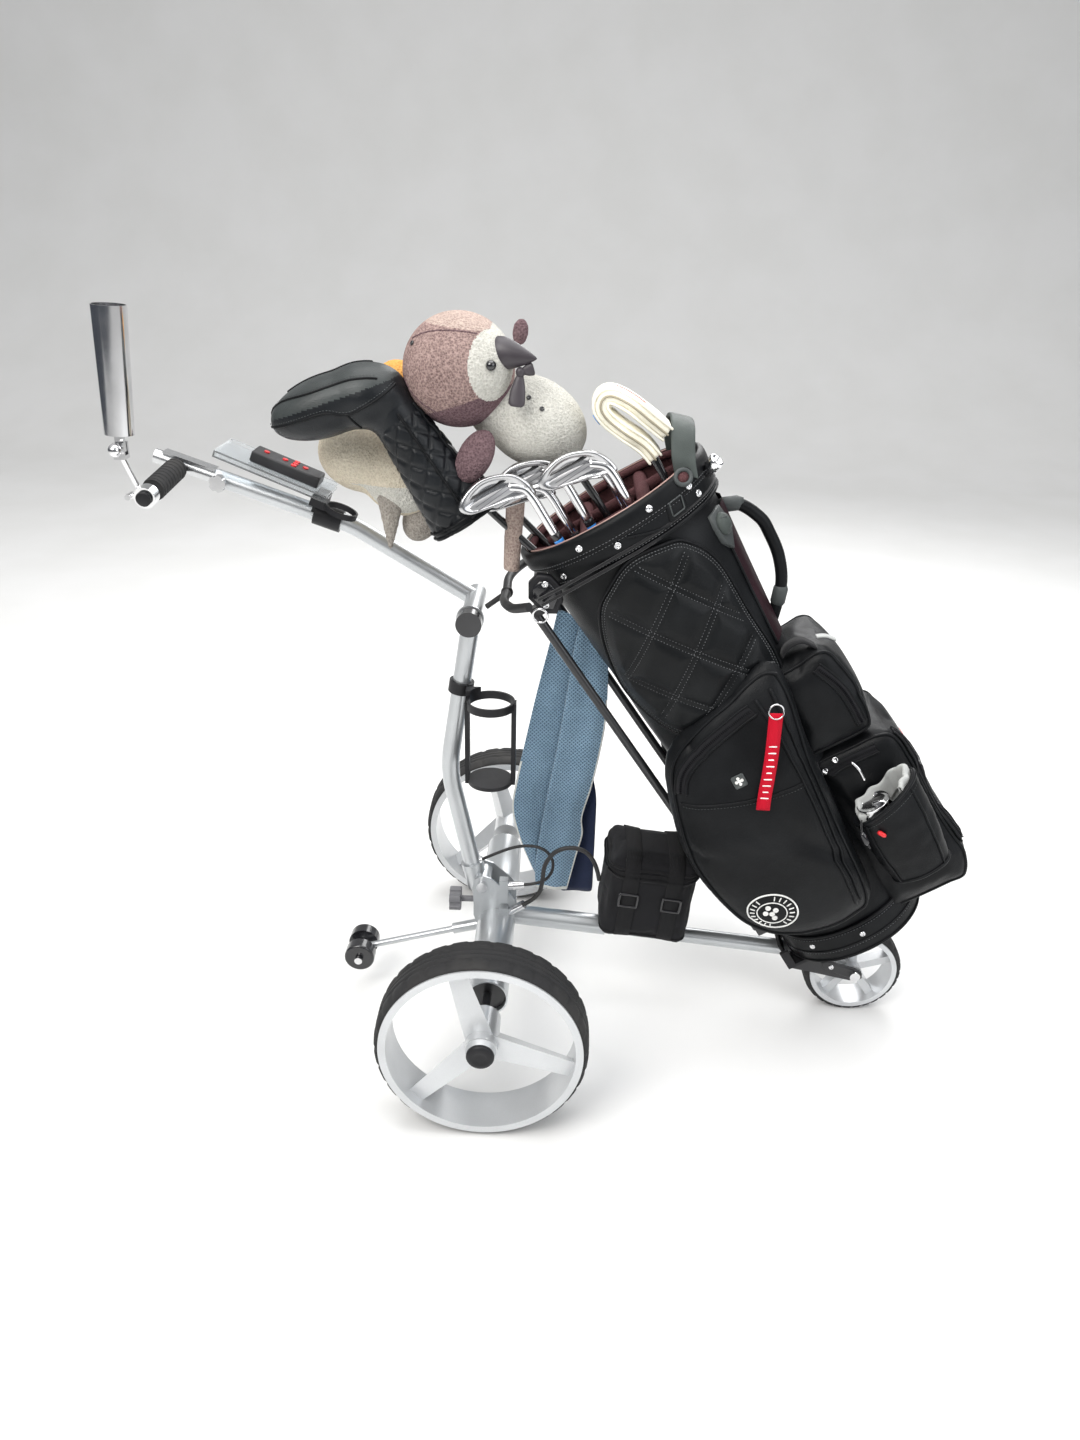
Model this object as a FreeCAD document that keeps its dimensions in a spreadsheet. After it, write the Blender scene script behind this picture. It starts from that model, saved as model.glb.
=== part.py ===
import FreeCAD, Part
import math
import os

import Sketcher
from FreeCAD import Placement, Rotation, Vector

# A stand bag of golf clubs carried on a three-wheeled electric cart, in millimetres.
# +X points forwards to the small front wheel, -Y is the side with the grip and +Z is up.
# The origin is on the ground, under the centre of the whole object's box.

doc = FreeCAD.newDocument("golf_cart")
sheet = doc.addObject("Spreadsheet::Sheet", "dims")


class Size:
    """A number kept together with the spreadsheet expression that gives it."""

    def __init__(self, value, text):
        self.value = value
        self.text = text

    def __add__(self, other):
        other = size(other)
        return Size(self.value + other.value, f"({self.text} + {other.text})")

    def __sub__(self, other):
        other = size(other)
        return Size(self.value - other.value, f"({self.text} - {other.text})")

    def __mul__(self, other):
        other = size(other)
        return Size(self.value * other.value, f"({self.text} * {other.text})")

    def __truediv__(self, other):
        other = size(other)
        return Size(self.value / other.value, f"({self.text} / {other.text})")

    def __neg__(self):
        return Size(-self.value, f"(-1 * {self.text})")

    def __float__(self):
        return float(self.value)


def size(amount):
    return amount if isinstance(amount, Size) else Size(float(amount), repr(float(amount)))


class Dims:
    """The driving dimensions: every attribute is a cell of the spreadsheet."""


D = Dims()


def cells(**values):
    for alias, value in values.items():
        row = len(vars(D)) + 1
        sheet.set(f"A{row}", alias)
        sheet.set(f"B{row}", str(value))
        sheet.setAlias(f"B{row}", alias)
        setattr(D, alias, Size(float(value), f"dims.{alias}"))


# Wheels
cells(axle_x=-118.0, axle_height=152.5, drive_wheel_dia=305, drive_wheel_width=67.4)
cells(wheel_gauge=599.2, tyre_depth=12.5, rim_lip_dia=289.4, rim_wall=6, rim_lip_width=2.6)
cells(hub_dia=48, hub_cap_dia=44, spoke_inner=24, spoke_outer=15, shaft_dia=12, shaft_gap=0.06)
cells(front_wheel_dia=161.8, front_wheel_width=46.8, front_lip_dia=143, wheelbase=599.2)
cells(tip_wheel_dia=50, tip_wheel_width=22, tip_axle_dia=8, front_axle_dia=10)
# Chassis
cells(axle_tube_dia=62, axle_tube_wall=2.5, axle_tube_length=424, motor_dia=54)
cells(lower_tube_dia=33, inner_tube_dia=26, lower_tube_wall=3, chassis_slope=5.89)
cells(plate_gap=44, plate_wall=3, bolt_dia=10, knob_dia=40, mast_dia=28, mast_wall=2)
cells(rod_dia=11, socket_dia=18, fork_plate=4, fork_gap=54)
# Battery
cells(battery_bag_length=140, battery_bag_width=124, battery_bag_height=150, fabric_wall=4)
# Mast, hinge and handle
cells(hinge_x=-37, hinge_height=697, hinge_dia=29, hinge_near=52, hinge_seam=16, hinge_far=62)
cells(handle_dia=25.4, handle_wall=1.8, slider_dia=21, handle_offset=35, cap_dia=37, cap_depth=23.6)
cells(grip_dia=30, grip_core_dia=19, clamp_dia=34, clamp_length=40)
cells(tray_length=164, tray_width=85, tray_sheet=2.5, tray_gap=5, remote_length=100)
cells(remote_width=40, remote_depth=16, button_dia=8, button_gap=0.1)
cells(ring_dia=47, ring_wall=3, ring_height=8, ring_x=107, ring_y=-38, ring_drop=12)
cells(umbrella_low_dia=37, umbrella_top_dia=43, umbrella_length=156, umbrella_wall=1.5)
# Bag cradle, bottle cage
cells(cradle_rod_dia=8, cradle_bar_dia=13, strap_height=14, strap_depth=2.5)
# Bag
cells(bag_lean=32.59, bag_x=608, bag_height=149, bag_floor=40, bag_rim=842, cuff_height=46)
cells(base_height=22, base_half_u=112, base_half_y=100, middle_half_u=115, middle_half_y=105)
cells(top_half_u=136, top_half_y=116, cuff_half_u=140, cuff_half_y=120, bag_wall=3)
cells(pocket_wall=3, pocket_clearance=0.8, leg_dia=13, bag_handle_dia=17)
cells(shaft_club_dia=9, blade_depth=10, penguin_head_dia=140)
# Cables and towel
cells(short_cable_dia=5, long_cable_dia=7, towel_depth=5)
doc.recompute()

nodes = []


def node(item, label):
    """Gives an object the label that names its file."""
    item.Label = label
    nodes.append(item)
    return item


def bind(item, name, amount):
    """Sets a property, and ties it to the spreadsheet where the amount comes from there."""
    if isinstance(amount, Size):
        setattr(item, name, amount.value)
        item.setExpression(name, amount.text)
    else:
        setattr(item, name, amount)


def at(x, y, z):
    """A point given from the ground under the middle of the drive axle."""
    return Vector(float(x) + D.axle_x.value, float(y), float(z))


AXIS_X, AXIS_Y, AXIS_Z = Vector(1, 0, 0), Vector(0, 1, 0), Vector(0, 0, 1)
BAG_FRAME = Placement(at(D.bag_x, 0, D.bag_height), Rotation(AXIS_Y, -D.bag_lean.value))


def in_bag(u, y, w):
    """A point of the bag's own frame: u to its front, w along it from base to rim."""
    return BAG_FRAME.multVec(Vector(u, y, w))


def aim(start, direction):
    return Placement(start, Rotation(AXIS_Z, direction))


def cylinder(start, end, radius):
    item = doc.addObject("Part::Cylinder", "cylinder")
    bind(item, "Radius", radius)
    item.Height = (end - start).Length
    item.Placement = aim(start, end - start)
    return item


def cone(start, end, start_radius, end_radius):
    item = doc.addObject("Part::Cone", "cone")
    bind(item, "Radius1", start_radius)
    bind(item, "Radius2", end_radius)
    item.Height = (end - start).Length
    item.Placement = aim(start, end - start)
    return item


def box(frame, low, length, width, height):
    """A box with its low corner at low, in a frame's own directions."""
    item = doc.addObject("Part::Box", "box")
    bind(item, "Length", length)
    bind(item, "Width", width)
    bind(item, "Height", height)
    item.Placement = frame.multiply(Placement(Vector(*[float(a) for a in low]), Rotation()))
    return item


def sphere(centre, radius):
    item = doc.addObject("Part::Sphere", "sphere")
    bind(item, "Radius", radius)
    item.Placement.Base = centre
    return item


def ellipsoid(centre, along, across, upright, turn=0.0):
    """An ellipsoid with half sizes along X, Y and Z, turned about Y."""
    item = doc.addObject("Part::Ellipsoid", "ellipsoid")
    item.Radius1, item.Radius2, item.Radius3 = upright, along, across
    item.Placement = Placement(centre, Rotation(AXIS_Y, turn))
    return item


def fuse(*items):
    item = doc.addObject("Part::MultiFuse", "fuse")
    item.Shapes = list(items)
    item.Refine = True
    return item


def group(*items):
    """Several separate solids kept as one object."""
    item = doc.addObject("Part::Compound", "group")
    item.Links = list(items)
    return item


def cut(base, *tools):
    item = doc.addObject("Part::Cut", "cut")
    item.Base = base
    item.Tool = tools[0] if len(tools) == 1 else group(*tools)
    item.Refine = True
    return item


def rounded(item, radius, edges=None):
    """Fillets the edges whose numbers are given, or all of them."""
    doc.recompute()
    fillet = doc.addObject("Part::Fillet", "rounded")
    fillet.Base = item
    count = len(item.Shape.Edges)
    fillet.Edges = [(number, radius, radius) for number in (edges or range(1, count + 1))]
    return fillet


def feature(shape, frame=None):
    item = doc.addObject("Part::Feature", "shape")
    item.Shape = shape
    if frame is not None:
        item.Placement = frame
    return item


def path(points, radii):
    """Straight runs joined by tangent arcs: one radius for each inner point."""
    edges = []
    start = points[0]
    for number, radius in enumerate(radii, 1):
        corner = points[number]
        before = (points[number - 1] - corner).normalize()
        after = (points[number + 1] - corner).normalize()
        half_turn = (math.pi - before.getAngle(after)) / 2
        reach = radius * math.tan(half_turn)
        first, last = corner + before * reach, corner + after * reach
        middle_way = (before + after).normalize()
        middle = corner + middle_way * (radius / math.cos(half_turn) - radius)
        edges.append(Part.LineSegment(start, first).toShape())
        edges.append(Part.Arc(first, middle, last).toShape())
        start = last
    edges.append(Part.LineSegment(start, points[-1]).toShape())
    return Part.Wire(edges)


def sweep(points, radii, radius):
    """A round bar along a path, as a Part sweep of a circle whose radius is bound."""
    section = doc.addObject("Part::Circle", "section")
    bind(section, "Radius", radius)
    section.Placement = aim(points[0], points[1] - points[0])
    spine = feature(path(points, radii))
    doc.recompute()
    item = doc.addObject("Part::Sweep", "sweep")
    item.Sections = [section]
    item.Spine = (spine, [f"Edge{n}" for n in range(1, len(spine.Shape.Edges) + 1)])
    item.Solid = True
    return item


def cord_radii(points):
    """The largest arcs that a cord's runs leave room for, each 0.45 of its shorter run."""
    radii = []
    for number in range(1, len(points) - 1):
        before = points[number] - points[number - 1]
        after = points[number + 1] - points[number]
        shorter = min(before.Length, after.Length)
        radii.append(0.45 * shorter / math.tan(before.getAngle(after) / 2))
    return radii


def cord(label, points, diameter):
    radii = cord_radii(points)
    item = node(sweep(points, radii, diameter / 2), label)
    doc.recompute()
    length = path(points, radii).Length
    section = math.pi * diameter.value**2 / 4
    print(f"{label}: length {length:.0f}, least radius {min(radii):.0f},",
          f"volume over section times length {item.Shape.Volume / (section * length):.4f}")
    return item


def sketch(body, plane, outline):
    """A closed outline on one of a body's planes, each corner tied to the spreadsheet."""
    drawing = body.newObject("Sketcher::SketchObject", "outline")
    support = [f for f in body.Origin.OriginFeatures if f.Role == plane][0]
    drawing.AttachmentSupport = (support, [""])
    drawing.MapMode = "FlatFace"
    corners = [(size(a), size(b)) for a, b in outline]
    for number, (a, b) in enumerate(corners):
        c, d = corners[(number + 1) % len(corners)]
        drawing.addGeometry(
            Part.LineSegment(Vector(a.value, b.value, 0), Vector(c.value, d.value, 0))
        )
    for number in range(len(corners)):
        after = (number + 1) % len(corners)
        drawing.addConstraint(Sketcher.Constraint("Coincident", number, 2, after, 1))
    for number, (a, b) in enumerate(corners):
        for kind, amount, axis in (("DistanceX", a, -2), ("DistanceY", b, -1)):
            if abs(amount.value) < 1e-9:
                drawing.addConstraint(Sketcher.Constraint("PointOnObject", number, 1, axis))
                continue
            rule = Sketcher.Constraint(kind, -1, 1, number, 1, amount.value)
            index = drawing.addConstraint(rule)
            if "dims." in amount.text:
                drawing.setExpression(f"Constraints[{index}]", amount.text)
    return drawing


def pad(label, plane, outline, length, frame, symmetric=True):
    """A body made by padding an outline."""
    body = doc.addObject("PartDesign::Body", "body")
    profile = sketch(body, plane, outline)
    extrusion = body.newObject("PartDesign::Pad", "pad")
    extrusion.Profile = profile
    bind(extrusion, "Length", length)
    extrusion.Midplane = symmetric
    body.Placement = frame
    return body


def revolve(outline, frame):
    """A body turned about its own Z axis from an outline of radius and height."""
    body = doc.addObject("PartDesign::Body", "body")
    profile = sketch(body, "XZ_Plane", outline)
    turned = body.newObject("PartDesign::Revolution", "turned")
    turned.Profile = profile
    turned.ReferenceAxis = (profile, ["V_Axis"])
    turned.Angle = 360
    body.Placement = frame
    return body


# ---------------------------------------------------------------- chassis

AXLE = at(0, 0, D.axle_height)
ALONG_Y = Rotation(AXIS_X, -90)
half_housing = D.axle_tube_length / 2
tube_radius = D.axle_tube_dia / 2


def axle_housing():
    outline = [
        (tube_radius - D.axle_tube_wall, -half_housing),
        (tube_radius, -half_housing),
        (tube_radius, half_housing),
        (tube_radius - D.axle_tube_wall, half_housing),
    ]
    node(revolve(outline, Placement(AXLE, ALONG_Y)), "axle_housing")


def drive_motors():
    """Two gear motors in the axle tube, each with its shaft out to its wheel."""
    motors = []
    for side in (-1, 1):
        inner, outer = AXLE + AXIS_Y * side * 95, AXLE + AXIS_Y * side * 204
        tip = AXLE + AXIS_Y * side * 326
        motors.append(fuse(cylinder(inner, outer, D.motor_dia / 2),
                           cylinder(outer, tip, D.shaft_dia / 2)))
    node(group(*motors), "drive_motors")


SLOPE = math.radians(D.chassis_slope.value)
CHASSIS_WAY = Vector(math.cos(SLOPE), 0, -math.sin(SLOPE))
CHASSIS_START = at(30, 0, 157)


def on_chassis(x):
    """The point of the chassis tube's centre line at a distance x ahead of the axle."""
    return CHASSIS_START + CHASSIS_WAY * ((x - 30) / CHASSIS_WAY.x)


def tube(start, end, outer, wall):
    return cut(cylinder(start, end, outer / 2), cylinder(start - (end - start) * 0.1,
               end + (end - start) * 0.1, outer / 2 - wall))


def chassis_tubes():
    outer = tube(on_chassis(20), on_chassis(182), D.lower_tube_dia, D.lower_tube_wall)
    housing = cylinder(AXLE - AXIS_Y * 60, AXLE + AXIS_Y * 60, tube_radius)
    node(cut(outer, housing), "lower_frame_tube")
    node(tube(on_chassis(120), on_chassis(493), D.inner_tube_dia, D.axle_tube_wall), "extension_tube")


PIVOT = at(-22.9, 0, 228)


def frame_bracket():
    """Two gusset plates on the axle housing, a rear web and the sockets of the leads."""
    outline = [(-31, 150), (-37, 170), (-37, 200), (-39, 222), (-35, 238), (-22, 246), (-8, 241),
               (24, 212), (31, 200), (31, 176), (31, 150)]
    plates = []
    for side in (-1, 1):
        middle = side * (D.plate_gap.value + D.plate_wall.value) / 2
        plates.append(pad("plate", "XZ_Plane", outline, D.plate_wall,
                          Placement(at(0, middle, 0), Rotation())))
    web = box(Placement(), at(-37, -D.plate_gap.value / 2, 172), 4, D.plate_gap, 24)
    low_socket = box(Placement(), at(6, -38, 170), 14, 13.5, 23)
    high_socket = box(Placement(), at(6, -38, 204), 14, 13.5, 42)
    stem = cylinder(at(-50, 0, 184), at(-20, 0, 184), D.bolt_dia / 2 + D.shaft_gap)
    housing = cylinder(AXLE - AXIS_Y * 60, AXLE + AXIS_Y * 60, tube_radius)
    bolt = cylinder(PIVOT - AXIS_Y * 60, PIVOT + AXIS_Y * 60, D.bolt_dia / 2)
    body = fuse(*plates, web, low_socket, high_socket)
    node(cut(body, stem, housing, bolt), "frame_bracket")


MAST_LEAN = Vector(-0.2084, 0, 0.978)
MAST_START = at(-38.5, 0, 246)
HINGE = at(D.hinge_x, 0, D.hinge_height)
MAST_POINTS = [MAST_START, at(-77.3, 0, 427.7), HINGE]


def mast():
    half_gap = D.plate_gap.value / 2
    low = MAST_START - MAST_LEAN * 34
    boss = cylinder(PIVOT - AXIS_Y * (half_gap - 0.2), PIVOT + AXIS_Y * (half_gap - 0.2), 14)
    sleeve = cylinder(low, MAST_START, D.mast_dia / 2 + 3)
    collar = cut(cylinder(MAST_START, MAST_START + MAST_LEAN * 12, D.mast_dia / 2 + 4),
                 cylinder(MAST_START, MAST_START + MAST_LEAN * 14, D.mast_dia / 2))
    bolt = cylinder(PIVOT - AXIS_Y * 60, PIVOT + AXIS_Y * 60, D.bolt_dia / 2)
    node(cut(fuse(boss, sleeve, collar), bolt), "mast_foot")
    barrel = cylinder(HINGE - AXIS_Y * 60, HINGE + AXIS_Y * 60, D.hinge_dia / 2)
    outer = sweep(MAST_POINTS, [210], D.mast_dia / 2)
    inner = sweep(MAST_POINTS, [210], D.mast_dia / 2 - D.mast_wall)
    node(cut(outer, inner, barrel), "mast_tube")


def hinge_barrel():
    """The mast's half of the folding hinge, with the flange that the lock cap bears on."""
    near, seam = HINGE - AXIS_Y * D.hinge_near.value, HINGE + AXIS_Y * D.hinge_seam.value
    barrel = cylinder(near, seam, D.hinge_dia / 2)
    flange = cylinder(near - AXIS_Y * 4, near, 20)
    bore = cylinder(near - AXIS_Y * 10, seam + AXIS_Y * 10, D.bolt_dia / 2)
    node(cut(fuse(barrel, flange), bore), "hinge_barrel")


def frame_bolts():
    radius = D.bolt_dia / 2
    low = fuse(cylinder(PIVOT - AXIS_Y * 33, PIVOT + AXIS_Y * 33, radius),
               cylinder(PIVOT - AXIS_Y * 33, PIVOT - AXIS_Y * 25, 9),
               cylinder(PIVOT + AXIS_Y * 25, PIVOT + AXIS_Y * 33, 9))
    far = HINGE + AXIS_Y * (D.hinge_far.value + 0.3)
    high = fuse(cylinder(HINGE - AXIS_Y * 66, far + AXIS_Y * 6, radius),
                cylinder(far, far + AXIS_Y * 6, 9.5))
    node(group(low, high), "frame_bolts")


def battery():
    """A padded fabric box on the chassis tube with the battery inside it."""
    frame = aim(on_chassis(236), Vector(math.sin(SLOPE), 0, math.cos(SLOPE)))
    rest = D.lower_tube_dia.value / 2 + 1
    half_long, half_wide = D.battery_bag_length / 2, D.battery_bag_width / 2
    outer = box(frame, (-half_long.value, -half_wide.value, rest), D.battery_bag_length,
                D.battery_bag_width, D.battery_bag_height)
    outer = rounded(outer, 9)
    wall = D.fabric_wall
    inner = box(frame, (-half_long.value + 4, -half_wide.value + 4, rest + 4),
                D.battery_bag_length - wall * 2, D.battery_bag_width - wall * 2,
                D.battery_bag_height - wall * 2)
    node(cut(outer, inner), "battery_bag")
    pack = box(frame, (-60, -48, rest + 5), 120, 96, 118)
    node(rounded(pack, 4), "battery_pack")


FRONT_HUB = at(D.wheelbase, 0, D.front_wheel_dia / 2)


def front_fork():
    """Two arms from the end of the chassis tube to the front wheel's axle."""
    end = on_chassis(495)
    half_gap = D.fork_gap.value / 2
    arms = []
    for side in (-1, 1):
        middle = side * (half_gap + D.fork_plate.value / 2)
        rear_x, hub_x = end.x - D.axle_x.value - 8, D.wheelbase.value
        hub_z = D.front_wheel_dia.value / 2
        outline = [(rear_x, 92), (rear_x + 40, 84), (hub_x - 6, hub_z - 11), (hub_x + 9, hub_z - 8),
                   (hub_x + 11, hub_z + 6), (hub_x, hub_z + 12), (rear_x + 48, 112), (rear_x, 122)]
        arms.append(pad("arm", "XZ_Plane", outline, D.fork_plate,
                        Placement(at(0, middle, 0), Rotation())))
    bridge = box(Placement(), at(495.5, -half_gap, 90), 16, D.fork_gap, 34)
    plug = cylinder(on_chassis(470), on_chassis(500), D.inner_tube_dia / 2 - D.axle_tube_wall)
    axle = cylinder(FRONT_HUB - AXIS_Y * 60, FRONT_HUB + AXIS_Y * 60, D.front_axle_dia / 2)
    node(cut(fuse(*arms, bridge, plug), axle), "front_fork")


TIP_HUB = at(-230, 0, 77)
TIP_WAY = Vector(-199, 0, -55).normalize()


def anti_tip():
    """A rod behind the axle that carries two small rollers."""
    start = at(-27, 0, 135)
    socket = cylinder(start, start + TIP_WAY * 48, D.socket_dia / 2)
    rod = cylinder(start, TIP_HUB, D.rod_dia / 2)
    boss = cylinder(TIP_HUB - AXIS_Y * 9, TIP_HUB + AXIS_Y * 9, 9)
    housing = cylinder(AXLE - AXIS_Y * 60, AXLE + AXIS_Y * 60, tube_radius)
    axle = cylinder(TIP_HUB - AXIS_Y * 60, TIP_HUB + AXIS_Y * 60, D.tip_axle_dia / 2)
    node(cut(fuse(socket, rod, boss), housing, axle), "anti_tip_rod")


def wheel_axles():
    """The through bolts of the front wheel and of the anti-tip rollers, with their nuts."""
    pins = []
    for hub, radius, reach, nut in ((FRONT_HUB, D.front_axle_dia / 2, 31.2, 8.5),
                                    (TIP_HUB, D.tip_axle_dia / 2, 34.6, 6.5)):
        pins.append(fuse(cylinder(hub - AXIS_Y * (reach + 6), hub + AXIS_Y * (reach + 6), radius),
                         cylinder(hub - AXIS_Y * (reach + 6), hub - AXIS_Y * reach, nut),
                         cylinder(hub + AXIS_Y * reach, hub + AXIS_Y * (reach + 6), nut)))
    node(group(*pins), "wheel_axles")


# ---------------------------------------------------------------- wheels

def tyre(centre, radius, depth, half_width):
    """A thin tread band with rounded shoulders, seated between the rim's lips."""
    inner = radius - depth
    outline = [(inner, -half_width), (radius - 4, -half_width), (radius, -half_width + 9),
               (radius, half_width - 9), (radius - 4, half_width), (inner, half_width)]
    return revolve(outline, Placement(centre, ALONG_Y))


def rim_band(centre, seat, lip, wall, lip_width, half_width):
    outline = [(seat - wall, -half_width), (lip, -half_width), (lip, -half_width + lip_width),
               (seat, -half_width + lip_width), (seat, half_width - lip_width),
               (lip, half_width - lip_width), (lip, half_width), (seat - wall, half_width)]
    return revolve(outline, Placement(centre, ALONG_Y))


def spoke(centre, side, angle, inner, outer, hub_radius, rim_radius, ridge_y):
    """A three-sided ridge that narrows from the hub to the rim."""
    way = Vector(math.cos(angle), 0, math.sin(angle))
    turn = Rotation(way.cross(AXIS_Y * side), AXIS_Y * side, way, "ZXY")
    ends = []
    for distance, radius in ((hub_radius, inner), (rim_radius, outer)):
        polygon = doc.addObject("Part::RegularPolygon", "triangle")
        polygon.Polygon = 3
        bind(polygon, "Circumradius", radius)
        place = centre + way * distance + AXIS_Y * side * (ridge_y - radius.value)
        polygon.Placement = Placement(place, turn.multiply(Rotation(AXIS_Z, 90)))
        ends.append(polygon)
    item = doc.addObject("Part::Loft", "spoke")
    item.Sections = ends
    item.Solid = True
    item.Ruled = True
    return item


def drive_wheel(name, side):
    radius, lip = D.drive_wheel_dia / 2, D.rim_lip_dia / 2
    seat = radius - D.tyre_depth
    half_width = D.drive_wheel_width / 2
    centre = AXLE + AXIS_Y * side * D.wheel_gauge.value / 2
    band = rim_band(centre, seat, lip, D.rim_wall, D.rim_lip_width, half_width)
    out = AXIS_Y * side
    hub = cylinder(centre - out * 44, centre + out * 26, D.hub_dia / 2)
    cap = cone(centre + out * 26, centre + out * 40, D.hub_cap_dia / 2, 15.7)
    bore = cylinder(centre - out * 60, centre + out * 27, D.shaft_dia / 2 + D.shaft_gap)
    spokes = []
    for number in range(3):
        angle = math.radians(105 + 120 * number)
        spokes.append(spoke(centre, side, angle, D.spoke_inner, D.spoke_outer, 8,
                            (seat - D.rim_wall / 2).value, 24))
    node(cut(fuse(band, hub, cap, *spokes), bore), name + "_rim")
    node(tyre(centre, radius, D.tyre_depth, half_width - D.rim_lip_width), name + "_tyre")


def front_wheel():
    radius, lip = D.front_wheel_dia / 2, D.front_lip_dia / 2
    seat = lip - 4
    half_width = D.front_wheel_width / 2
    band = rim_band(FRONT_HUB, seat, lip, size(4), size(2.4), half_width)
    hub = cylinder(FRONT_HUB - AXIS_Y * 25, FRONT_HUB + AXIS_Y * 25, 14)
    bore = cylinder(FRONT_HUB - AXIS_Y * 40, FRONT_HUB + AXIS_Y * 40,
                    D.front_axle_dia / 2 + D.shaft_gap)
    spokes = []
    for number in range(5):
        way = math.radians(90 + 72 * number)
        frame = Placement(FRONT_HUB, Rotation(AXIS_Y, -math.degrees(way)))
        spokes.append(box(frame, (9, -10, -6.5), (seat - 11).value, 20, 13))
    node(cut(fuse(band, hub, *spokes), bore), "front_rim")
    node(tyre(FRONT_HUB, radius, radius - seat, half_width - 2.4), "front_tyre")


def anti_tip_wheels():
    for name, side in (("near", -1), ("far", 1)):
        inner = TIP_HUB + AXIS_Y * side * 11
        outer = inner + AXIS_Y * side * D.tip_wheel_width.value
        wheel = rounded(cylinder(inner, outer, D.tip_wheel_dia / 2), 4, [1, 3])
        bore = cylinder(TIP_HUB, outer + AXIS_Y * side * 5, D.tip_axle_dia / 2 + D.shaft_gap)
        node(cut(wheel, bore), f"anti_tip_wheel_{name}")


# ---------------------------------------------------------------- knobs

def lobed_knob(start, way, radius, depth, lobes):
    """A round knob with hollows around its edge."""
    body = cylinder(start, start + way * depth, radius)
    across = way.cross(AXIS_Z if abs(way.z) < 0.9 else AXIS_X).normalize()
    other = way.cross(across)
    hollows = []
    for number in range(lobes):
        angle = 2 * math.pi * number / lobes
        out = across * math.cos(angle) + other * math.sin(angle)
        place = start + out * (radius.value * 1.16)
        hollows.append(cylinder(place - way, place + way * (depth + 1), radius.value * 0.32))
    return cut(body, *hollows)


def lock_knobs():
    stem = cylinder(at(-60, 0, 184), at(-33.5, 0, 184), D.bolt_dia / 2)
    head = lobed_knob(at(-60, 0, 184), -AXIS_X, D.knob_dia / 2, 18, 6)
    node(fuse(stem, head), "frame_lock_knob")
    near = HINGE - AXIS_Y * (D.hinge_near.value + 4.4)
    cap = cylinder(near - AXIS_Y * D.cap_depth.value, near, D.cap_dia / 2)
    cap = rounded(cap, 5, [3])
    bore = cylinder(near - AXIS_Y * 12, near + AXIS_Y, D.bolt_dia / 2 + D.shaft_gap)
    node(cut(cap, bore), "handle_lock_knob")


# ---------------------------------------------------------------- handle

LOWER_BEND = at(-214, D.handle_offset, 802.5)
UPPER_WAY = Vector(-279, 0, 93.4).normalize()


def on_handle(x):
    """The point of the upper handle's centre line at a distance x ahead of the axle."""
    return LOWER_BEND + UPPER_WAY * ((x + 214) / UPPER_WAY.x)


SCREW_X = -399


def handle_tube():
    start = HINGE + AXIS_Y * D.handle_offset.value
    points = [start, LOWER_BEND, on_handle(SCREW_X - 9)]
    outer = sweep(points, [150], D.handle_dia / 2)
    inner = sweep(points, [150], D.handle_dia / 2 - D.handle_wall)
    seam = HINGE + AXIS_Y * (D.hinge_seam.value + 0.4)
    far = HINGE + AXIS_Y * D.hinge_far.value
    knuckle = cylinder(seam, far, D.hinge_dia / 2)
    bore = cylinder(seam - AXIS_Y * 9, far + AXIS_Y * 9, D.bolt_dia / 2 + D.shaft_gap)
    place = on_handle(SCREW_X)
    boss = cylinder(place - AXIS_Y * 19, place - AXIS_Y * 10, 8)
    stem = cylinder(place - AXIS_Y * 30, place, D.bolt_dia / 4 + D.shaft_gap)
    keep_out = cylinder(on_handle(-380), on_handle(-420), D.handle_dia / 2 - D.handle_wall)
    hollow = cut(outer, inner, cylinder(seam, far, D.hinge_dia / 2))
    node(cut(fuse(hollow, knuckle, boss), bore, stem, keep_out), "handle_tube")


def extension_thumbscrew():
    place = on_handle(SCREW_X)
    head = lobed_knob(place - AXIS_Y * 19.4, -AXIS_Y, size(12), 11, 5)
    stem = cylinder(place - AXIS_Y * 19.4, place - AXIS_Y * 11.2, D.bolt_dia / 4)
    node(fuse(head, stem), "extension_thumbscrew")


CLAMP_X = -231
TRAY_FRAME = Placement(at(-319.5, 34.5, 880), Rotation(AXIS_Y, 21.7))


def tray_point(x, y, z):
    return TRAY_FRAME.multVec(Vector(float(x), float(y), float(z)))


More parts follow.
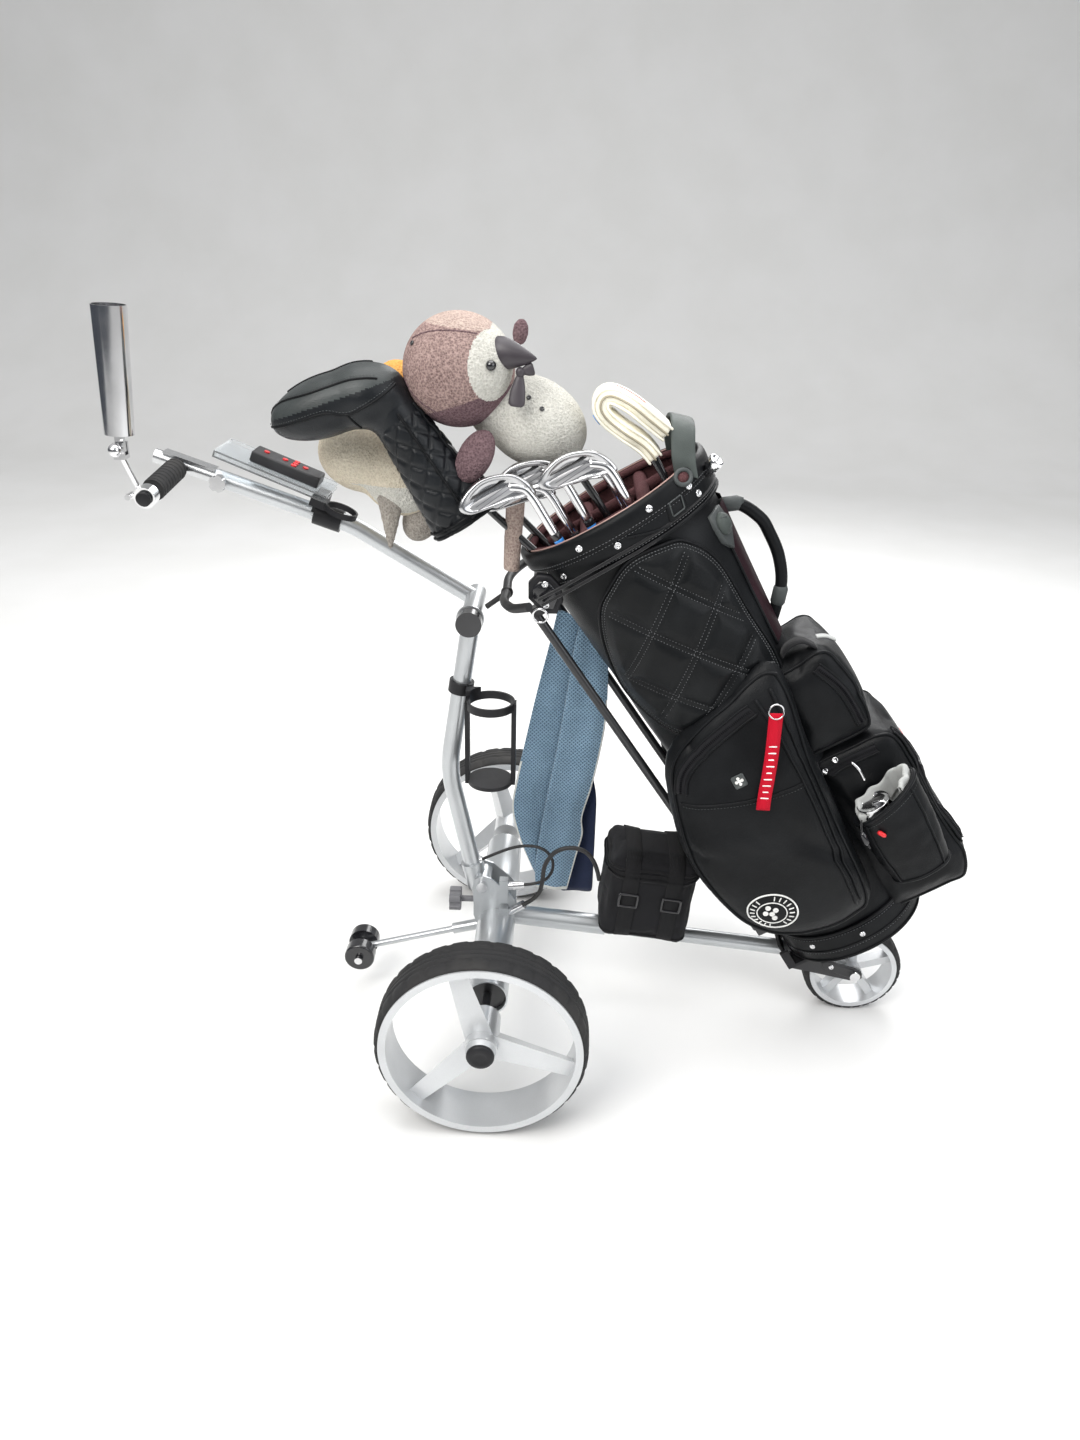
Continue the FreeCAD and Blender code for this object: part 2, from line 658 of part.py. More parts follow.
def console():
    """A clear two-layer tray on a band clamp, with a chrome ring for a ball or a tee."""
    half_long, half_wide = D.tray_length.value / 2, D.tray_width.value / 2
    gap, layer = D.tray_gap, D.tray_sheet
    top = box(TRAY_FRAME, (-half_long, -half_wide, gap.value / 2), D.tray_length, D.tray_width, layer)
    low = box(TRAY_FRAME, (-half_long, -half_wide, -gap.value / 2 - layer.value), D.tray_length,
              D.tray_width, layer)
    edge = box(TRAY_FRAME, (-half_long, -half_wide, -gap.value / 2 - layer.value), layer,
               D.tray_width, gap + layer * 2)
    node(fuse(top, low, edge), "console_tray")
    first, last = on_handle(CLAMP_X), on_handle(CLAMP_X) + UPPER_WAY * D.clamp_length.value
    band = cylinder(first, last, D.clamp_dia / 2)
    under = -gap.value / 2 - layer.value
    riser = box(TRAY_FRAME, (64, -12, under - 34), 18, 24, 34)
    clip = box(TRAY_FRAME, (62, -42, under - 11), 23, 26, 11)
    arm = box(TRAY_FRAME, (66, -36, under - 11), 14, 40, 8)
    tube_way = cylinder(on_handle(CLAMP_X + 41), on_handle(CLAMP_X - 69), D.handle_dia / 2)
    centre = tray_point(D.ring_x, D.ring_y, 0)
    up = TRAY_FRAME.Rotation.multVec(AXIS_Z)
    drop = D.ring_drop.value
    low_end, high_end = centre - up * drop, centre - up * (drop - D.ring_height.value)
    ring = cut(cylinder(low_end, high_end, D.ring_dia / 2),
               cylinder(low_end - up * 9, high_end + up * 9, D.ring_dia / 2 - D.ring_wall))
    node(cut(fuse(band, riser, clip, arm, ring), tube_way), "console_clamp")


BUTTON_PLACES = {"single": (-33, 0), "left": (-6, 0), "centre": (9, 0), "right": (24, 0),
                 "far": (9, 11), "near": (9, -11)}


def remote():
    """The remote control lies on the tray, with one key and a cross of five."""
    centre = (14, -9.5)
    bottom = D.tray_gap.value / 2 + D.tray_sheet.value + 0.2
    top = bottom + D.remote_depth.value
    half_long, half_wide = D.remote_length.value / 2, D.remote_width.value / 2
    body = box(TRAY_FRAME, (centre[0] - half_long, centre[1] - half_wide, bottom),
               D.remote_length, D.remote_width, D.remote_depth)
    body = rounded(body, 3)
    wells = []
    for name, (x, y) in BUTTON_PLACES.items():
        x, y = centre[0] + x, centre[1] + y
        wells.append(cylinder(tray_point(x, y, top - 4), tray_point(x, y, top + 1),
                              D.button_dia / 2 + D.button_gap))
        button = cylinder(tray_point(x, y, top - 2.6), tray_point(x, y, top + 1.6), D.button_dia / 2)
        node(button, f"remote_button_{name}")
    node(cut(body, *wells), "remote_body")


GRIP_WAY = Vector(-5.5, -125, -16).normalize()
GRIP_START = on_handle(-458)


def on_grip(distance):
    return GRIP_START + GRIP_WAY * distance


def handle_extension():
    """The inner tube that slides in the handle, with the bar of the grip welded across it."""
    radius = D.slider_dia / 2
    slider = cylinder(on_handle(-300), on_handle(-493), radius)
    hollow = cylinder(on_handle(-299), on_handle(-480), radius - 2)
    core = cylinder(GRIP_START, on_grip(138), D.grip_core_dia / 2)
    up = UPPER_WAY.cross(AXIS_Y) * -1
    frame = Placement(on_handle(-447), Rotation(UPPER_WAY * -1, AXIS_Y, up, "ZXY"))
    plate = box(frame, (-37, -11, radius.value - 1), 76, 22, 3)
    node(cut(fuse(slider, core, plate), hollow), "handle_extension")
    grip = cut(cylinder(on_grip(18), on_grip(104), D.grip_dia / 2),
               cylinder(on_grip(10), on_grip(110), D.grip_core_dia / 2))
    node(grip, "grip")


UMBRELLA_PIVOT = at(-480, -112, 936)
UMBRELLA_WAY = Vector(9, 0, 156).normalize()


def umbrella_holder():
    """A clamp and post on the end of the grip bar, and the cup that tilts on top of it."""
    band = cylinder(on_grip(117), on_grip(134), D.grip_core_dia / 2 + 5)
    core = cylinder(on_grip(100), on_grip(150), D.grip_core_dia / 2)
    foot = on_grip(127) + Vector(-8, 0, 8)
    fork_low = UMBRELLA_PIVOT - AXIS_Z * 12
    post = cylinder(foot, fork_low, 3.5)
    block = box(Placement(), UMBRELLA_PIVOT + Vector(-7, -9, -14), 14, 18, 5)
    ears = []
    for low_y in (-9, 5):
        ears.append(box(Placement(), UMBRELLA_PIVOT + Vector(-7, low_y, -14), 14, 4, 21))
    screw = cylinder(on_grip(127) + Vector(-8, 0, 0), on_grip(127) + Vector(-26, 0, 0), 3)
    wing = cylinder(on_grip(127) + Vector(-22, -9, 0), on_grip(127) + Vector(-22, 9, 0), 4)
    pin = fuse(cylinder(UMBRELLA_PIVOT - AXIS_Y * 16, UMBRELLA_PIVOT + AXIS_Y * 11, 2.5),
               sphere(UMBRELLA_PIVOT - AXIS_Y * 19, 8.5))
    node(cut(fuse(band, post, block, *ears, screw, wing, pin), core), "umbrella_clamp")
    low = UMBRELLA_PIVOT + UMBRELLA_WAY * 17
    high = low + UMBRELLA_WAY * D.umbrella_length.value
    wall = D.umbrella_wall
    cup = cut(cone(low, high, D.umbrella_low_dia / 2, D.umbrella_top_dia / 2),
              cone(low + UMBRELLA_WAY * 4, high + UMBRELLA_WAY * 0.5,
                   D.umbrella_low_dia / 2 - wall, D.umbrella_top_dia / 2 - wall))
    lug = box(Placement(), UMBRELLA_PIVOT + Vector(-5, -4, -5), 11, 8, 24)
    bore = cylinder(UMBRELLA_PIVOT - AXIS_Y * 9, UMBRELLA_PIVOT + AXIS_Y * 9, 2.5 + D.shaft_gap.value)
    node(cut(fuse(cup, lug), bore, cylinder(low + UMBRELLA_WAY * 4, high, 12)), "umbrella_tube")


# ---------------------------------------------------------------- cradle and cage

def bag_cradles():
    knuckle = at(12, 0, 720)
    rod = cylinder(at(-18, 0, 697), knuckle, D.cradle_rod_dia / 2)
    bars = []
    for side in (-1, 1):
        points = [at(12, 0, 720), at(10, side * 60, 725), at(26, side * 100, 730), at(49, side * 122, 741)]
        bars.append(sweep(points, [120, 45], D.cradle_bar_dia / 2))
    barrel = cylinder(HINGE - AXIS_Y * 60, HINGE + AXIS_Y * 60, D.hinge_dia / 2)
    node(cut(fuse(rod, sphere(knuckle, 9), *bars), barrel), "bag_cradle_bar")
    lip = box(BAG_FRAME, (-127, -34, 14), 5, 68, 52)
    floor = box(BAG_FRAME, (-127, -58, 33), 150, 116, 5)
    wings = [box(BAG_FRAME, (-127, y, 33), 14, 6, 34) for y in (-58, 52)]
    tube_way = cylinder(on_chassis(380), on_chassis(520), D.inner_tube_dia / 2)
    bridge = box(Placement(), at(480, -33, 60), 36, 66, 65)
    node(cut(fuse(lip, floor, *wings), tube_way, bridge), "base_cradle")


def elastic_strap():
    """A flat elastic band from one tip of the upper cradle round the bag to the other."""
    low, height, depth = 790.0, D.strap_height, D.strap_depth
    half_u, half_y = D.cuff_half_u.value + 1, D.cuff_half_y.value + 1
    thick = depth.value
    outer = Part.Ellipse(Vector(0, 0, low), half_u + thick, half_y + thick)
    inner = Part.Ellipse(Vector(0, 0, low), half_u, half_y)
    ring = Part.Face(Part.Wire(outer.toShape())).extrude(Vector(0, 0, height.value))
    ring = ring.cut(Part.Face(Part.Wire(inner.toShape())).extrude(Vector(0, 0, height.value)))
    front = Part.makeBox(200, 300, 40, Vector(0, -150, low - 10))
    band = ring.common(front)
    for side in (-1, 1):
        y = half_y if side > 0 else -half_y - thick
        band = band.fuse(Part.makeBox(150, thick, height.value, Vector(-150, y, low)))
    node(feature(band.removeSplitter(), BAG_FRAME), "elastic_strap")


def bottle_cage():
    """A folding bottle cage on a band clamp round the mast."""
    up = Vector(0.1478, 0, 0.989)
    middle = at(-56, 0, 570)
    band = cylinder(middle - up * 9, middle + up * 9, D.mast_dia / 2 + 5)
    mast_way = cylinder(middle - up * 40, middle + up * 40, D.mast_dia / 2)
    arm = box(Placement(), at(-46, -36, 561), 44, 18, 16)
    top = cylinder(at(-8, -46, 556), at(-8, -46, 568), 36)
    floor = cylinder(at(-8, -46, 432), at(-8, -46, 438), 34)
    space = cylinder(at(-8, -46, 438), at(-8, -46, 580), 32.5)
    spine = box(Placement(), at(-46, -55, 432), 8, 18, 134)
    prong = box(Placement(), at(22, -55, 432), 8, 18, 134)
    keep = cylinder(at(-8, -46, 438), at(-8, -46, 556), 32.5)
    node(cut(fuse(band, arm, top, floor, spine, prong), space, keep, mast_way), "bottle_cage")


# ---------------------------------------------------------------- bag

def bag_loft(levels, offset=0.0):
    """A solid lofted through ellipses, each given as height, half u and half y."""
    rings = []
    for height, half_u, half_y in levels:
        oval = Part.Ellipse(Vector(0, 0, height), half_u + offset, half_y + offset)
        rings.append(Part.Wire(oval.toShape()))
    return Part.makeLoft(rings, True, False)


FLOOR, RIM = D.bag_floor.value, D.bag_rim.value
CUFF = RIM - D.cuff_height.value
MIDDLE = (FLOOR + CUFF) / 2
BASE_TOP = FLOOR + D.base_height.value
BODY_LEVELS = [(FLOOR, D.base_half_u.value, D.base_half_y.value),
               (MIDDLE, D.middle_half_u.value, D.middle_half_y.value),
               (CUFF, D.top_half_u.value, D.top_half_y.value)]


def slab(low, high):
    return Part.makeBox(600, 600, high - low, Vector(-300, -300, low))


def bag():
    body = bag_loft(BODY_LEVELS)
    hollow = bag_loft(BODY_LEVELS, -D.bag_wall.value)
    shell = body.cut(hollow).common(slab(BASE_TOP + 0.2, CUFF))
    node(feature(shell, BAG_FRAME), "bag_shell")
    base = body.common(slab(FLOOR, BASE_TOP)).cut(hollow.common(slab(FLOOR + 6, BASE_TOP + 1)))
    node(feature(base, BAG_FRAME), "bag_base")
    half_u, half_y = D.cuff_half_u.value, D.cuff_half_y.value
    cuff_levels = [(CUFF + 0.2, half_u, half_y), (RIM, half_u, half_y)]
    cuff = bag_loft(cuff_levels).cut(bag_loft(cuff_levels, -5))
    for u in (-48, 42):
        bar = Part.makeBox(6, 2 * half_y, 16, Vector(u, -half_y, RIM - 20))
        cuff = cuff.fuse(bar.common(bag_loft(cuff_levels, -3)))
    node(feature(cuff.removeSplitter(), BAG_FRAME), "bag_cuff")


def outline_solid(outline, low_y, high_y):
    """An outline in the bag's own u and w, given depth from low_y to high_y."""
    corners = [Vector(u, low_y, w) for u, w in outline]
    face = Part.Face(Part.makePolygon(corners + corners[:1]))
    return face.extrude(Vector(0, high_y - low_y, 0))


def pockets():
    """Fabric pockets sewn on the bag's sides and front."""
    body = bag_loft(BODY_LEVELS, D.pocket_clearance.value)
    inner_body = bag_loft(BODY_LEVELS, D.pocket_clearance.value + D.pocket_wall.value)
    side_outline = [(98, 560), (3, 549), (-96, 519), (-135, 460), (-166, 342), (-154, 210), (-114, 160),
                    (35, 164), (66, 265)]
    near = closed_pocket(side_outline, -164, -92, body, inner_body)
    far = closed_pocket(side_outline, 92, 164, body, inner_body)
    node(feature(Part.makeCompound([near, far]), BAG_FRAME), "side_pockets")
    ball = [(60, 64), (190, 64), (208, 110), (201, 200), (201, 295), (192, 362), (164, 372), (60, 372)]
    cooler = [(60, 376), (172, 376), (182, 452), (170, 520), (150, 532), (60, 520)]
    bottle = [(92, 156), (176, 156), (190, 200), (190, 306), (92, 290)]
    front = [closed_pocket(ball, -84, 92, body, inner_body),
             closed_pocket(cooler, -88, 80, body, inner_body),
             closed_pocket(bottle, -154, -92.5, body, inner_body)]
    node(feature(Part.makeCompound(front), BAG_FRAME), "front_pockets")


def closed_pocket(outline, low_y, high_y, body, inner_body):
    """A closed fabric pocket with an even wall, cut back from the bag's body."""
    wall = D.pocket_wall.value
    centre_u = sum(u for u, w in outline) / len(outline)
    centre_w = sum(w for u, w in outline) / len(outline)
    inner = []
    for u, w in outline:
        out_u, out_w = u - centre_u, w - centre_w
        shrink = 1 - 1.4 * wall / math.hypot(out_u, out_w)
        inner.append((centre_u + out_u * shrink, centre_w + out_w * shrink))
    solid = outline_solid(outline, low_y, high_y).cut(body)
    space = outline_solid(inner, low_y + wall, high_y - wall).cut(inner_body)
    return solid.cut(space)


def bag_fittings():
    """The two handles and the folding stand legs."""
    arch = [in_bag(112, 0, 752), in_bag(158, 0, 738), in_bag(170, 0, 690), in_bag(160, 0, 630),
            in_bag(112, 0, 572)]
    body = feature(bag_loft(BODY_LEVELS, 0.4), BAG_FRAME)
    carry = cut(sweep(arch, [22, 60, 60], D.bag_handle_dia / 2), body)
    lift = cut(box(BAG_FRAME, (129, -46, RIM + 0.3), 14, 92, 40),
               box(BAG_FRAME, (120, -34, RIM - 10), 30, 68, 38))
    node(group(carry, lift), "bag_handles")
    legs = []
    for side in (-1, 1):
        legs.append(cylinder(in_bag(-158, side * 80, 772), in_bag(-131, side * 80, 150), D.leg_dia / 2))
        legs.append(box(BAG_FRAME, (-162, side * 80 - 9, 772), 46, 18, 14))
        legs.append(box(BAG_FRAME, (-134, side * 80 - 6, 138), 40, 12, 14))
    shell = feature(bag_loft(BODY_LEVELS, 0.4), BAG_FRAME)
    near, far = fuse(*legs[:3]), fuse(*legs[3:])
    node(group(cut(near, shell), cut(far, shell)), "stand_legs")


# ---------------------------------------------------------------- clubs and covers

IRONS = [(-76, -88, 887, 18), (-31, -70, 877, 4), (-59, -52, 866, 0), (30, -86, 858, 6), (18, -38, 848, 0)]
BLADE = [(7, 38), (4, 52), (-28, 84), (-70, 85), (-90, 71), (-82, 59), (-44, 50), (-6, 38)]
WOODS = [((88, -10, 70), (-178, -52, 1060)), ((20, 30, 70), (-22, 8, 985)), ((60, 40, 70), (-150, 34, 985)),
         ((70, -20, 70), (84, -32, 905))]


def golf_clubs():
    """Irons with bare heads, and the shafts of the covered clubs."""
    radius = D.shaft_club_dia / 2
    clubs = []
    for u, y, top, yaw in IRONS:
        shaft = cylinder(in_bag(u * 0.8, y * 0.72, 66), in_bag(u, y, top), radius)
        hosel = cylinder(in_bag(u, y, top - 22), in_bag(u, y, top + 44), 6.5)
        blade = outline_solid(BLADE, -D.blade_depth.value / 2, D.blade_depth.value / 2)
        place = BAG_FRAME.multiply(Placement(Vector(u, y, top), Rotation(AXIS_Z, yaw)))
        clubs.append(fuse(shaft, hosel, feature(blade, place)))
    for low, high in WOODS:
        clubs.append(cylinder(in_bag(*low), in_bag(*high), radius))
    node(group(*clubs), "golf_clubs")


HALF_TURN = 180


def covers():
    """Soft head covers, each a plain closed solid of its outer size."""
    head = ellipsoid(at(-212, -62, 994), 88, 50, 42, -19)
    neck = cone(at(-132, -62, 984), at(-47, -52, 850), 30, 38)
    node(fuse(head, neck), "driver_cover")
    penguin = fuse(sphere(at(-50, -30, 1036), D.penguin_head_dia / 2),
                   ellipsoid(at(44, -8, 976), 80, 60, 58, 20), ellipsoid(at(-26, -70, 940), 21, 17, 38, -15))
    node(penguin, "penguin_cover")
    beige = fuse(ellipsoid(at(-176, 26, 884), 64, 40, 46, HALF_TURN + 25),
                 ellipsoid(at(-118, 14, 822), 24, 22, 34, 30),
                 cone(at(-110, 24, 880), at(-20, 30, 848), 28, 26))
    node(beige, "beige_cover")
    putter = ellipsoid(in_bag(86, -32, 926), 52, 33, 38, -D.bag_lean.value)
    node(putter, "putter_cover")


# ---------------------------------------------------------------- towel, tag, cables

def towel():
    outline = [(84, 672), (150, 640), (158, 520), (150, 330), (150, 178), (62, 172), (40, 260), (27, 360),
               (48, 470), (74, 560)]
    corners = [at(x, 54, z) for x, z in outline]
    face = Part.Face(Part.makePolygon(corners + corners[:1]))
    node(feature(face.extrude(Vector(0, D.towel_depth.value, 0))), "towel")


def zipper_tag():
    frame = BAG_FRAME.multiply(Placement(Vector(66, -172, 516), Rotation(AXIS_Y, D.bag_lean.value)))
    tag = box(frame, (-11, 0, -150), 22, 2.5, 150)
    node(tag, "zipper_tag")


SHORT_ROUTE = [(-24, 0, 262), (6, -2, 280), (38, -10, 297), (72, -16, 300), (92, -22, 282), (91, -27, 257),
               (73, -30, 239), (46, -31, 236)]
LONG_ROUTE = [(166, -42, 258), (160, -45, 293), (135, -48, 321), (98, -47, 317), (77, -44, 285),
              (76, -40, 249), (69, -36, 216), (46, -31, 198)]


def cables():
    """The leads from the battery and the mast to the motors' sockets on the bracket."""
    cord("motor_cable_short", [at(*point) for point in SHORT_ROUTE], D.short_cable_dia)
    cord("motor_cable_long", [at(*point) for point in LONG_ROUTE], D.long_cable_dia)
    plugs = []
    for end, before, start in ((SHORT_ROUTE[-1], SHORT_ROUTE[-2], 20), (LONG_ROUTE[-1], LONG_ROUTE[-2], 20)):
        tip = at(*end)
        way = (tip - at(*before)).normalize()
        socket_end = tip + way * ((tip.x - D.axle_x.value - start) / -way.x)
        plugs.append(cylinder(tip, socket_end, 7))
    plugs.append(cylinder(at(-30, 0, 260), at(-24, 0, 262), 5))
    mast_way = cylinder(MAST_START, MAST_START + MAST_LEAN * 60, D.mast_dia / 2)
    node(cut(group(*plugs), mast_way), "motor_connectors")


axle_housing()
drive_motors()
chassis_tubes()
frame_bracket()
mast()
hinge_barrel()
frame_bolts()
battery()
front_fork()
anti_tip()
wheel_axles()
drive_wheel("near", -1)
drive_wheel("far", 1)
front_wheel()
anti_tip_wheels()
lock_knobs()
handle_tube()
extension_thumbscrew()
console()
remote()
handle_extension()
umbrella_holder()
bag_cradles()
elastic_strap()
bottle_cage()
bag()
pockets()
bag_fittings()
golf_clubs()
covers()
towel()
zipper_tag()
cables()
doc.recompute()

for item in doc.Objects:
    if "Invalid" in item.State or "Error" in item.State:
        raise SystemExit(f"{item.Label} ({item.Name}) failed: {item.State}")
for item in nodes:
    if item.Shape.isNull() or not item.Shape.isValid():
        raise SystemExit(f"{item.Label} has no valid shape")

os.makedirs("parts", exist_ok=True)
whole = FreeCAD.BoundBox()
for item in nodes:
    item.Shape.exportStep(f"parts/{item.Label}.step")
    whole.add(item.Shape.BoundBox)
print(len(nodes), "nodes; box", whole)
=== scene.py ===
import math

import bmesh
import bpy
from mathutils import Matrix, Vector, noise
from mathutils.bvhtree import BVHTree


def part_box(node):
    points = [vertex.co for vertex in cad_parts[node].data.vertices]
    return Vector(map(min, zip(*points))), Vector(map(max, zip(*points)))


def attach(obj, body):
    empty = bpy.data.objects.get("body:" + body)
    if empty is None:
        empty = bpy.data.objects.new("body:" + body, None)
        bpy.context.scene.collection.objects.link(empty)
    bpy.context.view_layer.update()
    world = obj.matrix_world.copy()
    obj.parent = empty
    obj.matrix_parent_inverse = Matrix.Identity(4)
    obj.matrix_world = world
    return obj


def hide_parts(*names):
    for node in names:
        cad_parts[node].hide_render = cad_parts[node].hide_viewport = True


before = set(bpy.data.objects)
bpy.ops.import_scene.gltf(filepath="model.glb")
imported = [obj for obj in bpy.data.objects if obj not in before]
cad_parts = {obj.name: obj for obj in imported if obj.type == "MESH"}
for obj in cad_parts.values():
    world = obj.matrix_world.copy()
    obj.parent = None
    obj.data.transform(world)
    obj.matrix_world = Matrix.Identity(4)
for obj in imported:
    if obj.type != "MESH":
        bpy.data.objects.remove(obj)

# Golf bag on an electric push cart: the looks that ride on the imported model.
# Metres. +X is forwards, -Y is the side with the grip, +Z is up.

for name in ("Cube", "Light", "Camera"):
    if name in bpy.data.objects:
        bpy.data.objects.remove(bpy.data.objects[name])

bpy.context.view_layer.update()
AXLE_X = (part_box("axle_housing")[0].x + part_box("axle_housing")[1].x) / 2

# ------------------------------------------------------------ camera

camera = bpy.data.objects.new("camera", bpy.data.cameras.new("camera"))
bpy.context.collection.objects.link(camera)
bpy.context.scene.camera = camera
camera.data.lens = 27.04
camera.data.clip_end = 50
CAMERA_YAW, CAMERA_PITCH, CAMERA_ROLL = map(math.radians, (-1.373, 25.25, 1.376))
ahead = Vector((math.sin(CAMERA_YAW) * math.cos(CAMERA_PITCH),
                math.cos(CAMERA_YAW) * math.cos(CAMERA_PITCH), -math.sin(CAMERA_PITCH)))
level = Vector((math.cos(CAMERA_YAW), -math.sin(CAMERA_YAW), 0))
above = level.cross(ahead)
right = level * math.cos(CAMERA_ROLL) + above * math.sin(CAMERA_ROLL)
upward = above * math.cos(CAMERA_ROLL) - level * math.sin(CAMERA_ROLL)
camera.matrix_world = Matrix.Translation((AXLE_X + 0.1003, -1.4986, 1.2238)) @ Matrix(
    (right, upward, -ahead)).transposed().to_4x4()

# ------------------------------------------------------------ places

LEAN = math.radians(32.59)
BAG_BASE = Vector((AXLE_X + 0.608, 0, 0.149))
BAG_U = Vector((math.cos(LEAN), 0, math.sin(LEAN)))
BAG_W = Vector((-math.sin(LEAN), 0, math.cos(LEAN)))
AXIS_Y = Vector((0, 1, 0))


def at(x, y, z):
    """A point given from the ground under the middle of the drive axle."""
    return Vector((AXLE_X + x, y, z))


def in_bag(u, y, w):
    """A point in the bag's frame: u to its front, w along it from base to rim."""
    return BAG_BASE + BAG_U * u + AXIS_Y * y + BAG_W * w


def shell_half(w):
    """Half sizes of the bag's oval body at a height."""
    t = (w - 0.04) / 0.756
    low, middle, high = (1 - t) * (1 - 2 * t), 4 * t * (1 - t), t * (2 * t - 1)
    return (0.112 * low + 0.115 * middle + 0.136 * high,
            0.100 * low + 0.105 * middle + 0.116 * high)


def on_shell(u, w, side=-1, out=0.0):
    """The point of the bag's body at u and w, on the near side or the far side."""
    half_u, half_y = shell_half(w)
    ratio = max(-0.999, min(0.999, u / (half_u + out)))
    return in_bag(u, side * (half_y + out) * math.sqrt(1 - ratio * ratio), w)


def angles(count):
    """Angles evenly spaced round a circle."""
    return [2 * math.pi * k / count for k in range(count)]


def bent(value, power):
    """A signed power, which squares off a circle's sine and cosine."""
    return math.copysign(abs(value) ** power, value)


def ripple(point, scale, seed=0.0):
    """Smooth noise at a point, for slack and dents."""
    return noise.noise(Vector(point) * scale + Vector((seed, seed * 0.7, -seed)))


# ------------------------------------------------------------ cords

def curve_object(name, points, radius):
    """A round curve; its thickness is on its points, so that its bounds hold the tube alone."""
    data = bpy.data.curves.new(name, "CURVE")
    data.dimensions = "3D"
    data.bevel_depth = 1.0
    data.bevel_resolution = 5
    data.resolution_u = 8
    data.use_fill_caps = True
    spline = data.splines.new("NURBS")
    spline.points.add(len(points) - 1)
    for point, place in zip(spline.points, points):
        point.co = (*place, 1)
        point.radius = radius
    spline.order_u = 3
    spline.use_endpoint_u = True
    obj = bpy.data.objects.new(name, data)
    bpy.context.collection.objects.link(obj)
    return obj


# The leads' routes, from the ground under the middle of the drive axle.
SHORT_ROUTE = [(-0.024, 0, 0.262), (0.006, -0.002, 0.280), (0.038, -0.010, 0.297),
               (0.072, -0.016, 0.300), (0.092, -0.022, 0.282), (0.091, -0.027, 0.257),
               (0.073, -0.030, 0.239), (0.046, -0.031, 0.236)]
LONG_ROUTE = [(0.166, -0.042, 0.258), (0.160, -0.045, 0.293), (0.135, -0.048, 0.321),
              (0.098, -0.047, 0.317), (0.077, -0.044, 0.285), (0.076, -0.040, 0.249),
              (0.069, -0.036, 0.216), (0.046, -0.031, 0.198)]


def cables():
    """The two motor leads, which the object holds at both ends."""
    for name, route, diameter in (("motor_cable_short", SHORT_ROUTE, 0.005),
                                  ("motor_cable_long", LONG_ROUTE, 0.007)):
        points = [at(*place) for place in route]
        lead = curve_object("lead_" + name, points, diameter / 2)
        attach(lead, "cart")
        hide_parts(name)
        length = spline_length(lead)
        lead.data.materials.append(MATERIALS["cable"])


def spline_length(obj):
    """The length along a curve's middle."""
    bevel = obj.data.bevel_depth
    obj.data.bevel_depth = 0
    mesh = bpy.data.meshes.new_from_object(obj)
    obj.data.bevel_depth = bevel
    total = sum((mesh.vertices[a].co - mesh.vertices[b].co).length
                for a, b in (edge.vertices for edge in mesh.edges))
    bpy.data.meshes.remove(mesh)
    return total


# ------------------------------------------------------------ materials

MATERIALS = {}
# The wave texture's scale for bands one metre apart.
WAVES_PER_PITCH = 0.314


